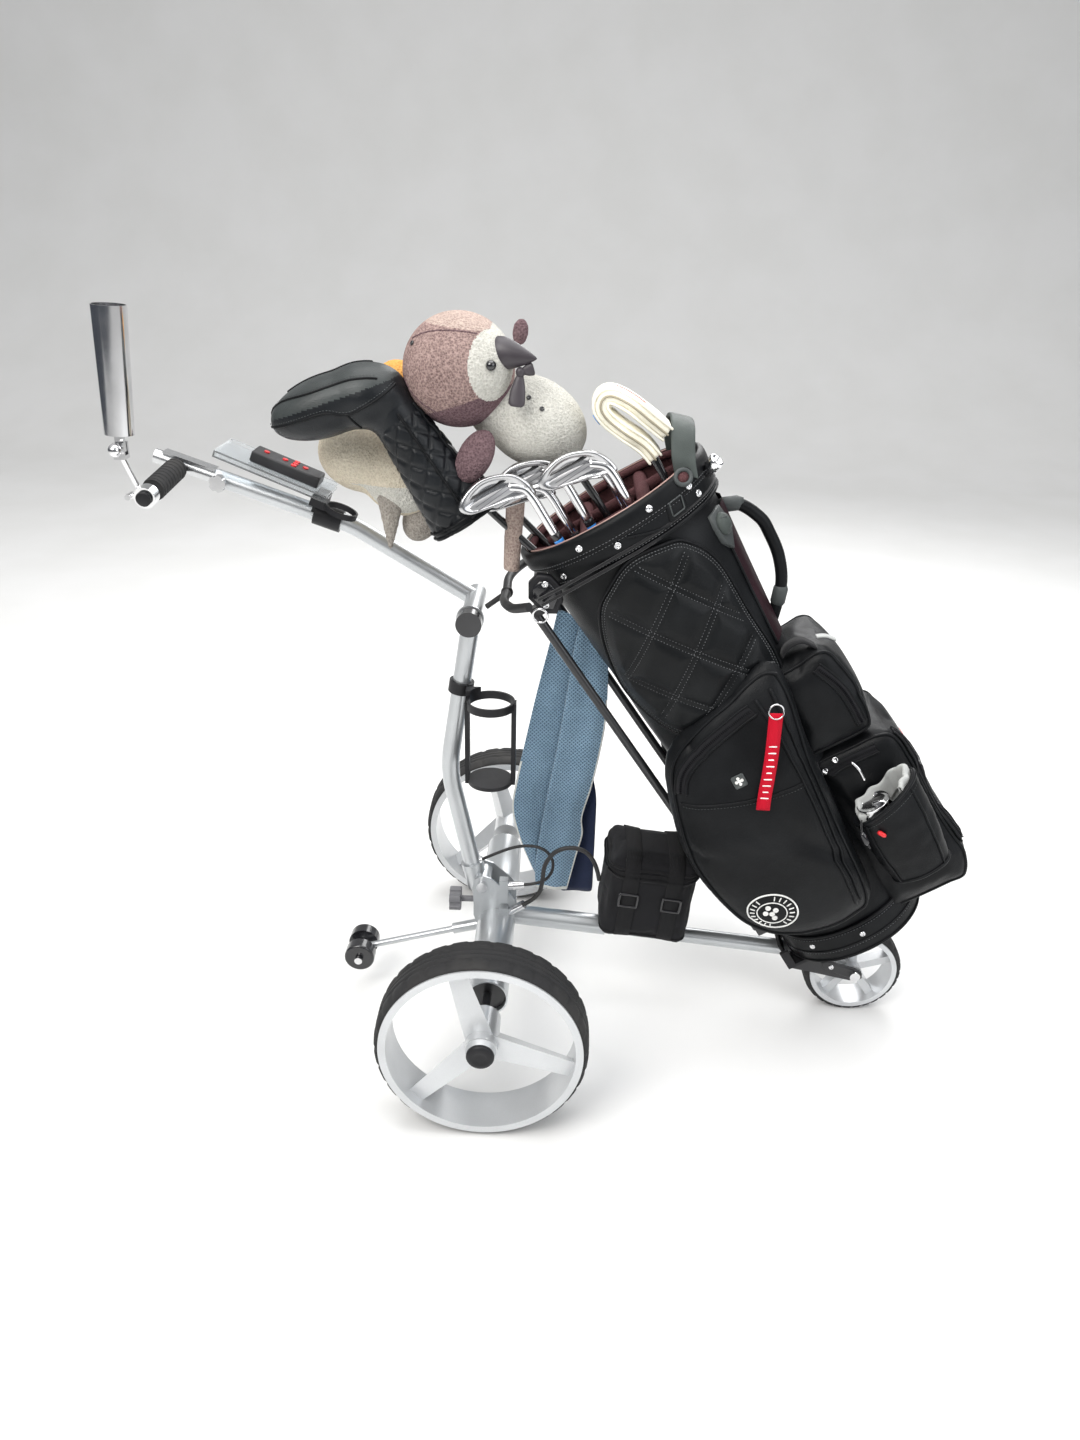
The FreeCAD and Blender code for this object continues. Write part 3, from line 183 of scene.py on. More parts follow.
class Look:
    """Builds one node material: colour variation, roughness variation and height layers."""

    def __init__(self, name, colour, roughness, metallic=0.0, **sockets):
        self.material = bpy.data.materials.new(name)
        self.material.use_nodes = True
        self.nodes = self.material.node_tree.nodes
        self.links = self.material.node_tree.links
        self.shader = self.nodes["Principled BSDF"]
        self.shader.inputs["Base Color"].default_value = (*colour, 1)
        self.shader.inputs["Roughness"].default_value = roughness
        self.shader.inputs["Metallic"].default_value = metallic
        for socket, value in sockets.items():
            self.shader.inputs[socket.replace("_", " ")].default_value = value
        self.colour, self.roughness = colour, roughness
        self.place = self.nodes.new("ShaderNodeTexCoord").outputs["Object"]
        self.height = None
        MATERIALS[name] = self.material

    def node(self, kind, **settings):
        made = self.nodes.new("ShaderNode" + kind)
        for key, value in settings.items():
            if key in made.inputs:
                made.inputs[key].default_value = value
            else:
                setattr(made, key, value)
        return made

    def mapped(self, scale=(1, 1, 1), turn=(0, 0, 0)):
        mapping = self.node("Mapping")
        mapping.inputs["Scale"].default_value = scale
        mapping.inputs["Rotation"].default_value = turn
        self.links.new(self.place, mapping.inputs["Vector"])
        return mapping.outputs["Vector"]

    def noise(self, scale, detail=4.0, stretch=(1, 1, 1), turn=(0, 0, 0)):
        made = self.node("TexNoise", Scale=scale, Detail=detail)
        self.links.new(self.mapped(stretch, turn), made.inputs["Vector"])
        return made.outputs["Fac"]

    def cells(self, scale, stretch=(1, 1, 1), feature="F1"):
        made = self.node("TexVoronoi", Scale=scale, feature=feature)
        self.links.new(self.mapped(stretch), made.inputs["Vector"])
        return made.outputs["Distance"]

    def waves(self, scale, turn=(0, 0, 0), distortion=0.0, profile="SIN"):
        made = self.node("TexWave", Scale=scale, Distortion=distortion, wave_profile=profile)
        self.links.new(self.mapped(turn=turn), made.inputs["Vector"])
        return made.outputs["Fac"]

    def math(self, operation, first, second=None, clamp=False):
        made = self.node("Math", operation=operation, use_clamp=clamp)
        for socket, value in zip(made.inputs, (first, second)):
            if value is None:
                continue
            if isinstance(value, (int, float)):
                socket.default_value = value
            else:
                self.links.new(value, socket)
        return made.outputs["Value"]

    def tint(self, factor, other, low=0.35, high=0.65):
        """Blends the base colour towards another where the factor is high."""
        ramp = self.node("ValToRGB")
        ramp.color_ramp.elements[0].position = low
        ramp.color_ramp.elements[1].position = high
        ramp.color_ramp.elements[0].color = (*self.colour, 1)
        ramp.color_ramp.elements[1].color = (*other, 1)
        self.links.new(factor, ramp.inputs["Fac"])
        self.links.new(ramp.outputs["Color"], self.shader.inputs["Base Color"])
        return self

    def dull(self, factor, spread):
        """Varies the roughness."""
        low = self.math("MULTIPLY", factor, spread)
        total = self.math("ADD", low, self.roughness - spread / 2, clamp=True)
        self.links.new(total, self.shader.inputs["Roughness"])
        return self

    def raise_by(self, factor, depth):
        """Adds a layer to the height that bump() reads."""
        layer = self.math("MULTIPLY", factor, depth)
        self.height = layer if self.height is None else self.math("ADD", self.height, layer)
        return self

    def bump(self, strength=1.0, distance=0.001):
        made = self.node("Bump", Strength=strength, Distance=distance)
        self.links.new(self.height, made.inputs["Height"])
        self.links.new(made.outputs["Normal"], self.shader.inputs["Normal"])
        return self.material


def metal_paint(name, colour, roughness=0.32, metallic=0.75, coat=0.35):
    """Sprayed metal: fine flakes, faint clouds and a thin clear coat."""
    look = Look(name, colour, roughness, metallic, Coat_Weight=coat, Coat_Roughness=0.12)
    flake = look.noise(1400, 2)
    cloud = look.noise(9, 5)
    look.tint(look.math("ADD", look.math("MULTIPLY", flake, 0.35), look.math("MULTIPLY", cloud, 0.65)),
              tuple(c * 0.82 for c in colour))
    look.dull(look.noise(30, 6), 0.14)
    look.raise_by(flake, 0.15)
    look.raise_by(look.noise(220, 3), 0.5)
    return look.bump(0.25, 0.0003)


def plastic(name, colour, roughness=0.45, grain=900, coat=0.0, shine=0.45):
    """Moulded plastic with a fine grain and worn patches."""
    look = Look(name, colour, roughness, 0, Coat_Weight=coat, Specular_IOR_Level=shine)
    look.tint(look.noise(26, 6), tuple(c * 1.45 + 0.004 for c in colour), 0.4, 0.75)
    look.dull(look.noise(40, 5), 0.2)
    look.raise_by(look.cells(grain), 0.6)
    look.raise_by(look.noise(grain / 2, 3), 0.5)
    return look.bump(0.3, 0.0003)


def leather(name, colour, roughness=0.42, crease=1.0, shine=0.15):
    """Grained leather with broad soft creases."""
    look = Look(name, colour, roughness, 0, Specular_IOR_Level=shine)
    look.tint(look.noise(14, 6), tuple(c * 1.7 + 0.003 for c in colour), 0.42, 0.8)
    look.dull(look.noise(35, 6), 0.22)
    look.raise_by(look.cells(700), 0.7)
    look.raise_by(look.noise(420, 5), 0.5)
    look.raise_by(look.noise(38, 4, (1, 1, 0.5)), 1.6 * crease)
    return look.bump(0.45, 0.0006)


def weave(name, colour, pitch=0.0009, roughness=0.8, sheen=0.25, depth=1.0, lift=1.8):
    """Threads crossing each other on the bias of the object's own axes."""
    look = Look(name, colour, roughness, 0, Sheen_Weight=sheen, Sheen_Roughness=0.5,
                Specular_IOR_Level=0.2)
    rate = WAVES_PER_PITCH / pitch
    warp = look.waves(rate, (0, 0.6, 0.3))
    weft = look.waves(rate, (0, 0.6 + math.pi / 2, 0.3))
    cross = look.math("MULTIPLY", warp, weft)
    look.tint(look.math("ADD", look.math("MULTIPLY", cross, 0.7),
                        look.math("MULTIPLY", look.noise(40, 5), 0.4)),
              tuple(c * lift + 0.002 for c in colour), 0.2, 0.9)
    look.raise_by(cross, 1.0 * depth)
    look.raise_by(look.noise(500, 3), 0.3)
    return look.bump(0.6, pitch / 2)


def plush(name, colour, other, tuft=330):
    """Short pile: curls and strands in two tones under a soft sheen."""
    look = Look(name, colour, 0.95, 0, Sheen_Weight=0.8, Sheen_Roughness=0.45,
                Specular_IOR_Level=0.15)
    look.shader.inputs["Sheen Tint"].default_value = (*[min(1, c * 1.5) for c in colour], 1)
    strands = look.noise(tuft * 2.4, 3, (1, 1, 0.55))
    curls = look.cells(tuft)
    mixed = look.math("ADD", look.math("MULTIPLY", strands, 0.6), look.math("MULTIPLY", curls, 0.5))
    look.tint(look.math("ADD", mixed, look.math("MULTIPLY", look.noise(18, 4), 0.35)), other, 0.42, 0.95)
    look.raise_by(mixed, 2.0)
    look.raise_by(look.noise(110, 4), 1.0)
    return look.bump(0.9, 0.0016)


def waffle(name, colour, other):
    """Cloth with a grid of small raised cells."""
    look = Look(name, colour, 0.95, 0, Sheen_Weight=0.4)
    rate = WAVES_PER_PITCH / 0.0045
    ridges = look.math("MAXIMUM", look.waves(rate, (0, 0.785, 0)), look.waves(rate, (0, -0.785, 0)))
    look.tint(look.math("ADD", look.math("MULTIPLY", ridges, 0.8),
                        look.math("MULTIPLY", look.noise(25, 5), 0.3)), other, 0.45, 1.0)
    look.raise_by(ridges, 1.0)
    look.raise_by(look.noise(700, 3), 0.2)
    return look.bump(0.9, 0.0012)


def bright_metal(name, colour, roughness=0.12, brushed=0.0):
    """Polished or brushed metal."""
    look = Look(name, colour, roughness, 1.0)
    look.tint(look.noise(22, 5), tuple(c * 0.86 for c in colour))
    look.dull(look.noise(60, 6), 0.1)
    look.raise_by(look.noise(900, 3, (1, 0.04, 1)) if brushed else look.noise(120, 3), 0.4 + brushed)
    return look.bump(0.15, 0.0002)


def rubber(name, colour, roughness=0.75, dust=0.06, tread=0.0):
    """Dusty rubber, with ribs where a tread is given."""
    look = Look(name, colour, roughness)
    look.tint(look.noise(16, 7), (dust, dust * 0.95, dust * 0.88), 0.45, 0.85)
    look.dull(look.noise(70, 5), 0.2)
    look.raise_by(look.noise(700, 4), 0.5)
    if tread:
        look.raise_by(look.waves(WAVES_PER_PITCH / 0.011, (0.5, 0.8, 0.4), 3.0), tread)
    return look.bump(0.5, 0.0006)


def clear(name):
    """Clear plastic, slightly wavy and smeared."""
    look = Look(name, (0.93, 0.96, 0.98), 0.05, 0, Transmission_Weight=0.92, IOR=1.45)
    look.dull(look.noise(50, 6), 0.08)
    look.raise_by(look.noise(30, 3), 0.3)
    return look.bump(0.05, 0.0003)


metal_paint("silver", (0.55, 0.57, 0.585))
metal_paint("wheel_silver", (0.66, 0.675, 0.69), 0.36, 0.55)
metal_paint("slider", (0.60, 0.61, 0.62), 0.26, 0.95, 0.1)
metal_paint("black_paint", (0.018, 0.018, 0.02), 0.38, 0.2)
bright_metal("chrome", (0.78, 0.78, 0.79))
bright_metal("iron_satin", (0.60, 0.60, 0.61), 0.24, 1.0)
bright_metal("iron_face", (0.50, 0.50, 0.51), 0.42, 1.5)
plastic("black_plastic", (0.009, 0.009, 0.0105), shine=0.28)
plastic("gloss_black", (0.01, 0.01, 0.012), 0.2, 500, 0.5)
plastic("grey_plastic", (0.13, 0.13, 0.14), 0.5)
plastic("remote", (0.014, 0.014, 0.016), 0.5, 1500)
plastic("red_key", (0.62, 0.015, 0.02), 0.35, 900, 0.3)
plastic("ferrule_blue", (0.03, 0.22, 0.62), 0.25, 900, 0.6)
plastic("ferrule_white", (0.8, 0.82, 0.84), 0.3, 900, 0.6)
plastic("white_print", (0.72, 0.72, 0.70), 0.6)
plastic("eye_black", (0.006, 0.006, 0.008), 0.08, 300, 1.0)
leather("leather", (0.0042, 0.0047, 0.0055))
leather("leather_quilt", (0.0038, 0.0045, 0.0052), 0.40, 0.4, 0.18)
leather("leather_grey", (0.050, 0.056, 0.056), 0.5, 0.6, 0.3)
leather("leather_wine", (0.018, 0.006, 0.009), 0.5, 0.6)
leather("cover_leather", (0.006, 0.0072, 0.0088), 0.34, 1.2, 0.26)
leather("hood_top", (0.030, 0.035, 0.035), 0.40, 1.0, 0.35)
leather("rubber_green", (0.060, 0.070, 0.066), 0.55, 0.3)
leather("white_leather", (0.80, 0.77, 0.66), 0.5, 0.8)
leather("cream_shadow", (0.30, 0.27, 0.20), 0.6, 0.6)
leather("rim_pink", (0.42, 0.28, 0.25), 0.6, 0.4)
weave("thread_grey", (0.12, 0.125, 0.13), 0.0006, 0.7)
weave("nylon", (0.008, 0.008, 0.0095), sheen=0.05)
weave("webbing", (0.009, 0.009, 0.010), 0.0016, 0.85, 0.05)
weave("ribbon", (0.50, 0.0015, 0.018), 0.0007, 0.7, 0.0, 0.7, 1.2)
weave("knit_black", (0.010, 0.010, 0.011), 0.0013, 0.9, 0.3)
weave("towel_hem", (0.72, 0.73, 0.70), 0.0011, 0.9, 0.2, 0.8, 1.1)
# A darker navy copy of the towel cloth: painted shade for the towel's far fold, which lies in shadow.
weave("towel_painted_shade", (0.012, 0.02, 0.055), 0.001, 0.9)
weave("grey_cloth", (0.42, 0.43, 0.42), 0.001, 0.9, 0.2, 0.8, 1.3)
waffle("towel", (0.070, 0.140, 0.215), (0.28, 0.43, 0.57))
plush("velvet", (0.075, 0.030, 0.034), (0.15, 0.07, 0.072), 700)
plush("plush_brown", (0.10, 0.060, 0.060), (0.44, 0.32, 0.29))
plush("plush_dark", (0.060, 0.034, 0.042), (0.22, 0.145, 0.155))
plush("plush_white", (0.42, 0.41, 0.37), (0.66, 0.65, 0.60))
plush("plush_beige", (0.50, 0.44, 0.34), (0.72, 0.66, 0.54))
plush("plush_tan", (0.26, 0.185, 0.165), (0.58, 0.47, 0.41))
plush("plush_orange", (0.75, 0.33, 0.08), (0.9, 0.5, 0.16))
rubber("tyre", (0.014, 0.014, 0.015), 0.8, 0.035, 0.5)
rubber("cable", (0.012, 0.012, 0.013), 0.5, 0.025)
rubber("foam", (0.02, 0.02, 0.021), 0.9, 0.045)
plastic("satin_grey", (0.040, 0.034, 0.040), 0.42, 1600)
plush("plush_grey", (0.17, 0.15, 0.135), (0.40, 0.37, 0.33))
clear("acrylic")

NODE_LOOKS = {
    "silver": ["axle_housing", "lower_frame_tube", "extension_tube", "frame_bracket", "mast_foot",
               "mast_tube", "hinge_barrel", "handle_tube", "anti_tip_rod"],
    "wheel_silver": ["near_rim", "far_rim", "front_rim"],
    "tyre": ["near_tyre", "far_tyre", "front_tyre"],
    "foam": ["grip"],
    "gloss_black": ["anti_tip_wheel_near", "anti_tip_wheel_far", "handle_lock_knob"],
    "black_plastic": ["console_clamp", "bottle_cage", "base_cradle", "bag_base"],
    "black_paint": ["drive_motors", "front_fork", "stand_legs"],
    "grey_plastic": ["frame_lock_knob", "battery_pack"],
    "chrome": ["frame_bolts", "wheel_axles", "motor_connectors", "umbrella_clamp", "umbrella_tube",
               "extension_thumbscrew"],
    "slider": ["handle_extension"],
    "acrylic": ["console_tray"],
    "remote": ["remote_body"],
    "red_key": [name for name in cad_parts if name.startswith("remote_button")],
    "cable": ["bag_cradle_bar"],
}


def dress_nodes():
    """Gives the CAD pieces that stay in view their looks."""
    for look, names in NODE_LOOKS.items():
        for name in names:
            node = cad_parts[name]
            node.data.materials.clear()
            node.data.materials.append(MATERIALS[look])


# ------------------------------------------------------------ mesh tools

def mesh_object(name, verts, faces, look, smooth=True):
    """A new object in one look."""
    mesh = bpy.data.meshes.new(name)
    mesh.from_pydata([tuple(v) for v in verts], [], faces)
    mesh.materials.append(MATERIALS[look])
    mesh.polygons.foreach_set("use_smooth", [smooth] * len(mesh.polygons))
    obj = bpy.data.objects.new(name, mesh)
    bpy.context.collection.objects.link(obj)
    return obj


def finish(obj, body="cart", replaces=()):
    """Turns the faces outwards, says which body the piece rides on and hides the CAD pieces that it
    replaces.
    """
    bm = bmesh.new()
    bm.from_mesh(obj.data)
    bmesh.ops.recalc_face_normals(bm, faces=bm.faces)
    bm.to_mesh(obj.data)
    bm.free()
    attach(obj, body)
    if replaces:
        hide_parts(*replaces)
    return obj


def modify(obj, kind, **settings):
    """Adds a modifier and applies it at once."""
    made = obj.modifiers.new(kind.lower(), kind)
    for key, value in settings.items():
        setattr(made, key, value)
    bpy.context.view_layer.update()
    graph = bpy.context.evaluated_depsgraph_get()
    mesh = bpy.data.meshes.new_from_object(obj.evaluated_get(graph))
    obj.modifiers.clear()
    old = obj.data
    obj.data = mesh
    bpy.data.meshes.remove(old)
    obj.data.polygons.foreach_set("use_smooth", [True] * len(obj.data.polygons))
    return obj


def loft(name, rings, look, closed=True, cap=True):
    """A skin through rings of points; each ring is closed on itself."""
    count = len(rings[0])
    verts = [p for ring in rings for p in ring]
    faces = []
    for row in range(len(rings) - 1):
        for k in range(count if closed else count - 1):
            n = (k + 1) % count
            faces.append((row * count + k, row * count + n, (row + 1) * count + n, (row + 1) * count + k))
    if cap:
        for row, flip in ((0, True), (len(rings) - 1, False)):
            centre = sum((Vector(p) for p in rings[row]), Vector()) / count
            verts.append(centre)
            for k in range(count):
                n = (k + 1) % count
                a, b = row * count + k, row * count + n
                faces.append((b, a, len(verts) - 1) if flip else (a, b, len(verts) - 1))
    return mesh_object(name, verts, faces, look)


def frame_along(points):
    """Directions, and a steady pair of across vectors, at each point of a line."""
    ways = [step_at(points, k).normalized() for k in range(len(points))]
    across = ways[0].orthogonal().normalized()
    frames = []
    for way in ways:
        across = (across - way * across.dot(way)).normalized()
        frames.append((way, across, way.cross(across)))
    return frames


def smooth_line(points, steps=6, closed=False):
    """Points on a Catmull-Rom line through the given ones."""
    points = [Vector(p) for p in points]
    count = len(points)
    line = []
    for k in range(count if closed else count - 1):
        if closed:
            a, b, c, d = (points[(k + j) % count] for j in (-1, 0, 1, 2))
        else:
            a, b, c, d = (points[max(0, min(count - 1, k + j))] for j in (-1, 0, 1, 2))
        for s in range(steps):
            t = s / steps
            line.append(0.5 * ((2 * b) + (c - a) * t + (2 * a - 5 * b + 4 * c - d) * t * t
                               + (3 * b - a - 3 * c + d) * t * t * t))
    if not closed:
        line.append(points[-1])
    return line


def bag_line(points, steps=6):
    """A smooth line through points given in the bag's frame."""
    return smooth_line([in_bag(*p) for p in points], steps)


def rope(name, points, radius, look, sides=10, closed=False):
    """A mesh tube along a line, with its ends rounded over."""
    frames = frame_along(points)
    rings = []
    for place, (way, across, other) in zip(points, frames):
        rings.append([place + across * (radius * math.cos(a)) + other * (radius * math.sin(a))
                      for a in angles(sides)])
    if closed:
        rings.append(rings[0])
        return loft(name, rings, look, cap=False)
    for ring, place, way, index in ((rings[0], points[0], -frames[0][0], 0),
                                    (rings[-1], points[-1], frames[-1][0], len(rings))):
        tip = [place + (Vector(p) - place) * 0.6 + way * radius * 0.8 for p in ring]
        rings.insert(index, tip) if index == 0 else rings.append(tip)
    return loft(name, rings, look)


def step_at(points, k):
    """The way from the point before to the point after, at one point of a line."""
    return points[min(k + 1, len(points) - 1)] - points[max(0, k - 1)]


def ribbon(name, points, normals, width, depth, look):
    """A flat strap along a line: width across, depth along the normals."""
    rings = []
    for k, (place, normal) in enumerate(zip(points, normals)):
        side = step_at(points, k).cross(normal).normalized() * width / 2
        lift = normal.normalized() * depth
        rings.append([place - side, place - side + lift, place + lift, place + side + lift,
                      place + side, place])
    return loft(name, rings, look)


def stitches(name, points, normals, pitch, length, width, look):
    """A row of short raised threads along a line on a surface."""
    verts, faces = [], []
    travelled, target = 0.0, pitch / 2
    for k in range(len(points) - 1):
        a, b = points[k], points[k + 1]
        step = (b - a).length
        if step < SAME_PLACE:
            continue
        while target <= travelled + step:
            t = (target - travelled) / step
            centre, way = a.lerp(b, t), (b - a) / step
            normal = normals[k].lerp(normals[k + 1], t).normalized()
            side = way.cross(normal).normalized() * width / 2
            lift = normal * width * 0.7
            base = len(verts)
            verts += [centre - way * length / 2 - lift * 0.6, centre - side, centre + lift, centre + side,
                      centre + way * length / 2 - lift * 0.6]
            for p, q in ((1, 2), (2, 3)):
                faces += [(base, base + q, base + p), (base + 4, base + p, base + q)]
            faces += [(base, base + 1, base + 3), (base + 4, base + 3, base + 1)]
            target += pitch
        travelled += step
    return mesh_object(name, verts, faces, look, False) if verts else None


SAME_PLACE = 1e-7
# Pitch, length and width of a stitch, and its look.
QUILT_THREAD = 0.0046, 0.0034, 0.0012, "thread_grey"
FINE_THREAD = 0.0046, 0.0034, 0.0010, "leather_grey"
ZIP_TEETH = 0.0028, 0.0016, 0.005, "gloss_black"


def join(name, objects):
    """One object from several, which keep their materials."""
    objects = [o for o in objects if o]
    merged = bmesh.new()
    looks = []
    for obj in objects:
        start = len(merged.faces)
        remap = []
        for material in obj.data.materials:
            if material not in looks:
                looks.append(material)
            remap.append(looks.index(material))
        obj.data.transform(obj.matrix_world)
        merged.from_mesh(obj.data)
        merged.faces.ensure_lookup_table()
        for face in merged.faces[start:]:
            face.material_index = remap[min(face.material_index, len(remap) - 1)]
    mesh = bpy.data.meshes.new(name)
    merged.to_mesh(mesh)
    merged.free()
    for material in looks:
        mesh.materials.append(material)
    for obj in objects:
        bpy.data.objects.remove(obj)
    made = bpy.data.objects.new(name, mesh)
    bpy.context.collection.objects.link(made)
    return made


def puff(obj, voxel=0.006, pressure=4.0, frames=20, cap=0.01):
    """Swells a closed mesh as padded cloth, by no more than cap anywhere."""
    obj = modify(obj, "REMESH", mode="VOXEL", voxel_size=voxel)
    start = [v.co.copy() for v in obj.data.vertices]
    cloth = obj.modifiers.new("cloth", "CLOTH")
    cloth.settings.use_pressure = True
    cloth.settings.uniform_pressure_force = pressure
    cloth.settings.effector_weights.gravity = 0
    cloth.settings.quality = 4
    scene = bpy.context.scene
    for number in range(1, frames + 1):
        scene.frame_set(number)
    graph = bpy.context.evaluated_depsgraph_get()
    moved = bpy.data.meshes.new_from_object(obj.evaluated_get(graph))
    ends = [v.co.copy() for v in moved.vertices]
    bpy.data.meshes.remove(moved)
    obj.modifiers.clear()
    scene.frame_set(1)
    for vertex, a, b in zip(obj.data.vertices, start, ends):
        move = b - a
        if move.length > cap:
            move = move.normalized() * cap
        vertex.co = a + move
    return modify(obj, "SUBSURF", levels=1, render_levels=1)


def turned(name, centre, way, across, profile, look, count=32):
    """A turned form: pairs of radius and height, spun about a line through its centre."""
    other = way.cross(across)
    return loft(name, [[centre + way * h + (across * math.cos(a) + other * math.sin(a)) * r
                        for a in angles(count)] for r, h in profile], look)


def rivet(place, normal, radius=0.0055, look="chrome"):
    """A domed stud with a hollow in its middle."""
    way = normal.normalized()
    profile = [(r * radius, h * radius) for r, h in
               ((1, -0.1), (1, 0.25), (0.85, 0.5), (0.6, 0.6), (0.45, 0.35), (0.2, 0.3))]
    return turned("rivet", place, way, way.orthogonal().normalized(), profile, look, 16)


# ------------------------------------------------------------ bag

def oval(w, half_u, half_y, count=96, power=2.0):
    """A ring across the bag; a power over 2 squares it off."""
    ring = []
    for a in angles(count):
        ring.append(in_bag(half_u * bent(math.cos(a), 2 / power), half_y * bent(math.sin(a), 2 / power), w))
    return ring


def ring_round(w, out, count=120):
    """A ring that stands out from the bag's body at a height."""
    half_u, half_y = shell_half(min(w, 0.82))
    return oval(w, half_u + out, half_y + out, count, 2.1)


def bag_body():
    """The leather tube of the bag, with soft dents and a pinch under the cuff."""
    rings = []
    for row in range(70):
        w = 0.060 + 0.738 * row / 69
        half_u, half_y = shell_half(w)
        ring = oval(w, half_u, half_y, 120, 2.15)
        pinch = 0.0025 * math.exp(-((w - 0.780) / 0.012) ** 2)
        middle = in_bag(0, 0, w)
        dented = []
        for p in ring:
            out = (p - middle).normalized()
            dent = 0.0026 * ripple(p, 9) + 0.0014 * ripple(p, 26, 3)
            dented.append(p - out * (0.0012 + pinch - dent))
        rings.append(dented)
    body = loft("bag_body_skin", rings, "leather", cap=False)
    modify(body, "SOLIDIFY", thickness=0.0025, offset=-1)
    finish(body, replaces=["bag_shell"])
    lining = [oval(w, *(a - 0.006 for a in shell_half(w)), 64) for w in (0.1, 0.3, 0.5, 0.7, 0.835)]
    inside = loft("bag_lining", lining, "velvet", cap=False)
    modify(inside, "SOLIDIFY", thickness=0.001, offset=-1)
    finish(inside)


def collar_tab():
    """A slotted leather tab on the collar, a lined eyelet and a slanting seam."""
    parts = []
    corner, across, up = on_shell(0.064, 0.801, -1, 0.0055), on_shell(0.092, 0.801, -1, 0.0055), \
        on_shell(0.070, 0.829, -1, 0.0062)
    way_a, way_b = across - corner, up - corner
    normal = way_a.cross(way_b).normalized()
    if normal.y > 0:
        normal = -normal
    plate = [(0.06, 0), (0.94, 0), (1, 0.08), (1, 0.92), (0.94, 1), (0.06, 1), (0, 0.92), (0, 0.08)]
    middle = corner + way_a * 0.5 + way_b * 0.5
    rings = []
    for share, lift in ((1.0, -0.004), (1.0, 0.0012), (0.93, 0.0024), (0.70, 0.0022), (0.62, 0.0002),
                        (0.1, 0.0)):
        rings.append([middle + (way_a * (a - 0.5) + way_b * (b - 0.5)) * share + normal * lift
                      for a, b in plate])
    parts.append(loft("tab", rings, "leather"))
    slot = [middle + way_a * (a - 0.5) * 0.64 + way_b * (b - 0.5) * 0.66 + normal * 0.0022
            for a, b in plate]
    parts.append(rope("slot", slot, 0.0011, "leather_grey", 6, closed=True))
    eye = on_shell(0.106, 0.8405, -1, 0.0100)
    out = (eye - in_bag(0.04, 0, 0.8405)).normalized() + BAG_W * 0.35
    out.normalize()
    side = out.cross(BAG_W).normalized()
    rise = side.cross(out).normalized()
    ring = [eye + side * 0.0118 * math.cos(a) + rise * 0.0098 * math.sin(a) for a in
            angles(32)]
    parts.append(rope("eyelet", ring, 0.0030, "leather_grey", 8, closed=True))
    disc = [[eye - out * h + side * 0.0110 * r * math.cos(a) + rise * 0.0090 * r * math.sin(a)
             for a in angles(32)] for r, h in ((1, 0), (0.9, 0.002), (0.1, 0.003))]
    parts.append(loft("eyelet_lining", disc, "velvet"))
    seam = smooth_line([on_shell(u, w, -1, 0.0062)
                        for u, w in ((0.008, 0.816), (0.035, 0.806), (0.062, 0.798))], 6)
    parts.append(rope("seam", seam, 0.0014, "leather", 8))
    finish(join("collar_tab", parts))


def hoop(w, out, radius, look):
    """A cord of some look all round the bag at a height."""
    return rope("hoop", ring_round(w, out), radius, look, closed=True)


def hoop_thread(w, out):
    """A row of thread all round the bag at a height."""
    ring = ring_round(w, out, 200)
    ring.append(ring[0])
    normals = [(p - in_bag(0, 0, w)).normalized() for p in ring]
    return stitches("thread", ring, normals, 0.0050, 0.0036, 0.0012, "thread_grey")


def bag_cuff():
    """The stiff top collar: a leather band, a rolled rim and padded divider bars."""
    rings = []
    for w, out in ((0.790, 0.0), (0.795, 0.0035), (0.812, 0.0050), (0.818, 0.0042), (0.8225, 0.0055),
                   (0.826, 0.0075), (0.838, 0.0085), (0.846, 0.0070), (0.8495, 0.0015), (0.846, -0.004),
                   (0.836, -0.006), (0.800, -0.006)):
        rings.append([p + (BAG_W * 0.0006 + BAG_U * 0.0004) * ripple(p, 30, 2) for p in ring_round(w, out)])
    cuff = loft("bag_collar", rings, "leather", cap=False)
    modify(cuff, "SUBSURF", levels=1, render_levels=1)
    bars = [hoop(0.8215, 0.0052, 0.0016, "leather"), hoop(0.7915, 0.0035, 0.0026, "leather"),
            hoop_thread(0.8245, 0.0072), hoop_thread(0.8185, 0.0050), hoop_thread(0.7965, 0.0046)]
    for u in (-0.045, 0.045):
        line = [in_bag(u, y, 0.828) for y in (-0.100, -0.05, 0, 0.05, 0.100)]
        bars.append(rope("divider", smooth_line(line), 0.010, "velvet", 14))
    for y in (-0.040, 0.040):
        line = [in_bag(u, y, 0.824) for u in (-0.125, -0.045, 0.045, 0.125)]
        bars.append(rope("divider", smooth_line(line), 0.009, "velvet", 14))
    bars.append(rope("rim_roll", oval(0.842, 0.1285, 0.1085, 90), 0.0052, "velvet", 10, closed=True))
    bars.append(rope("rim_edge", oval(0.8475, 0.1335, 0.1135, 120, 2.1), 0.0012, "rim_pink", 8,
                     closed=True))
    finish(join("bag_collar_set", [cuff, *bars]), replaces=["bag_cuff"])
    studs = []
    for side in (-1, 1):
        for u, w in ((-0.054, 0.834), (-0.095, 0.805), (-0.116, 0.812), (-0.008, 0.813), (0.050, 0.834),
                     (0.106, 0.826), (0.112, 0.808)):
            place = on_shell(u, w, side, 0.0050 if w < 0.82 else 0.0078)
            studs.append(rivet(place, place - in_bag(u * 0.3, 0, w), 0.0052))
    finish(join("collar_studs", studs))
    collar_tab()


# Outlines in the bag's u and w.
QUILT_EDGE = [(-0.079, 0.736), (-0.048, 0.764), (-0.007, 0.785), (0.040, 0.781), (0.070, 0.766),
              (0.093, 0.715), (0.096, 0.628), (0.099, 0.545), (0.086, 0.517), (0.018, 0.524),
              (-0.040, 0.512), (-0.080, 0.520), (-0.113, 0.592), (-0.104, 0.672)]


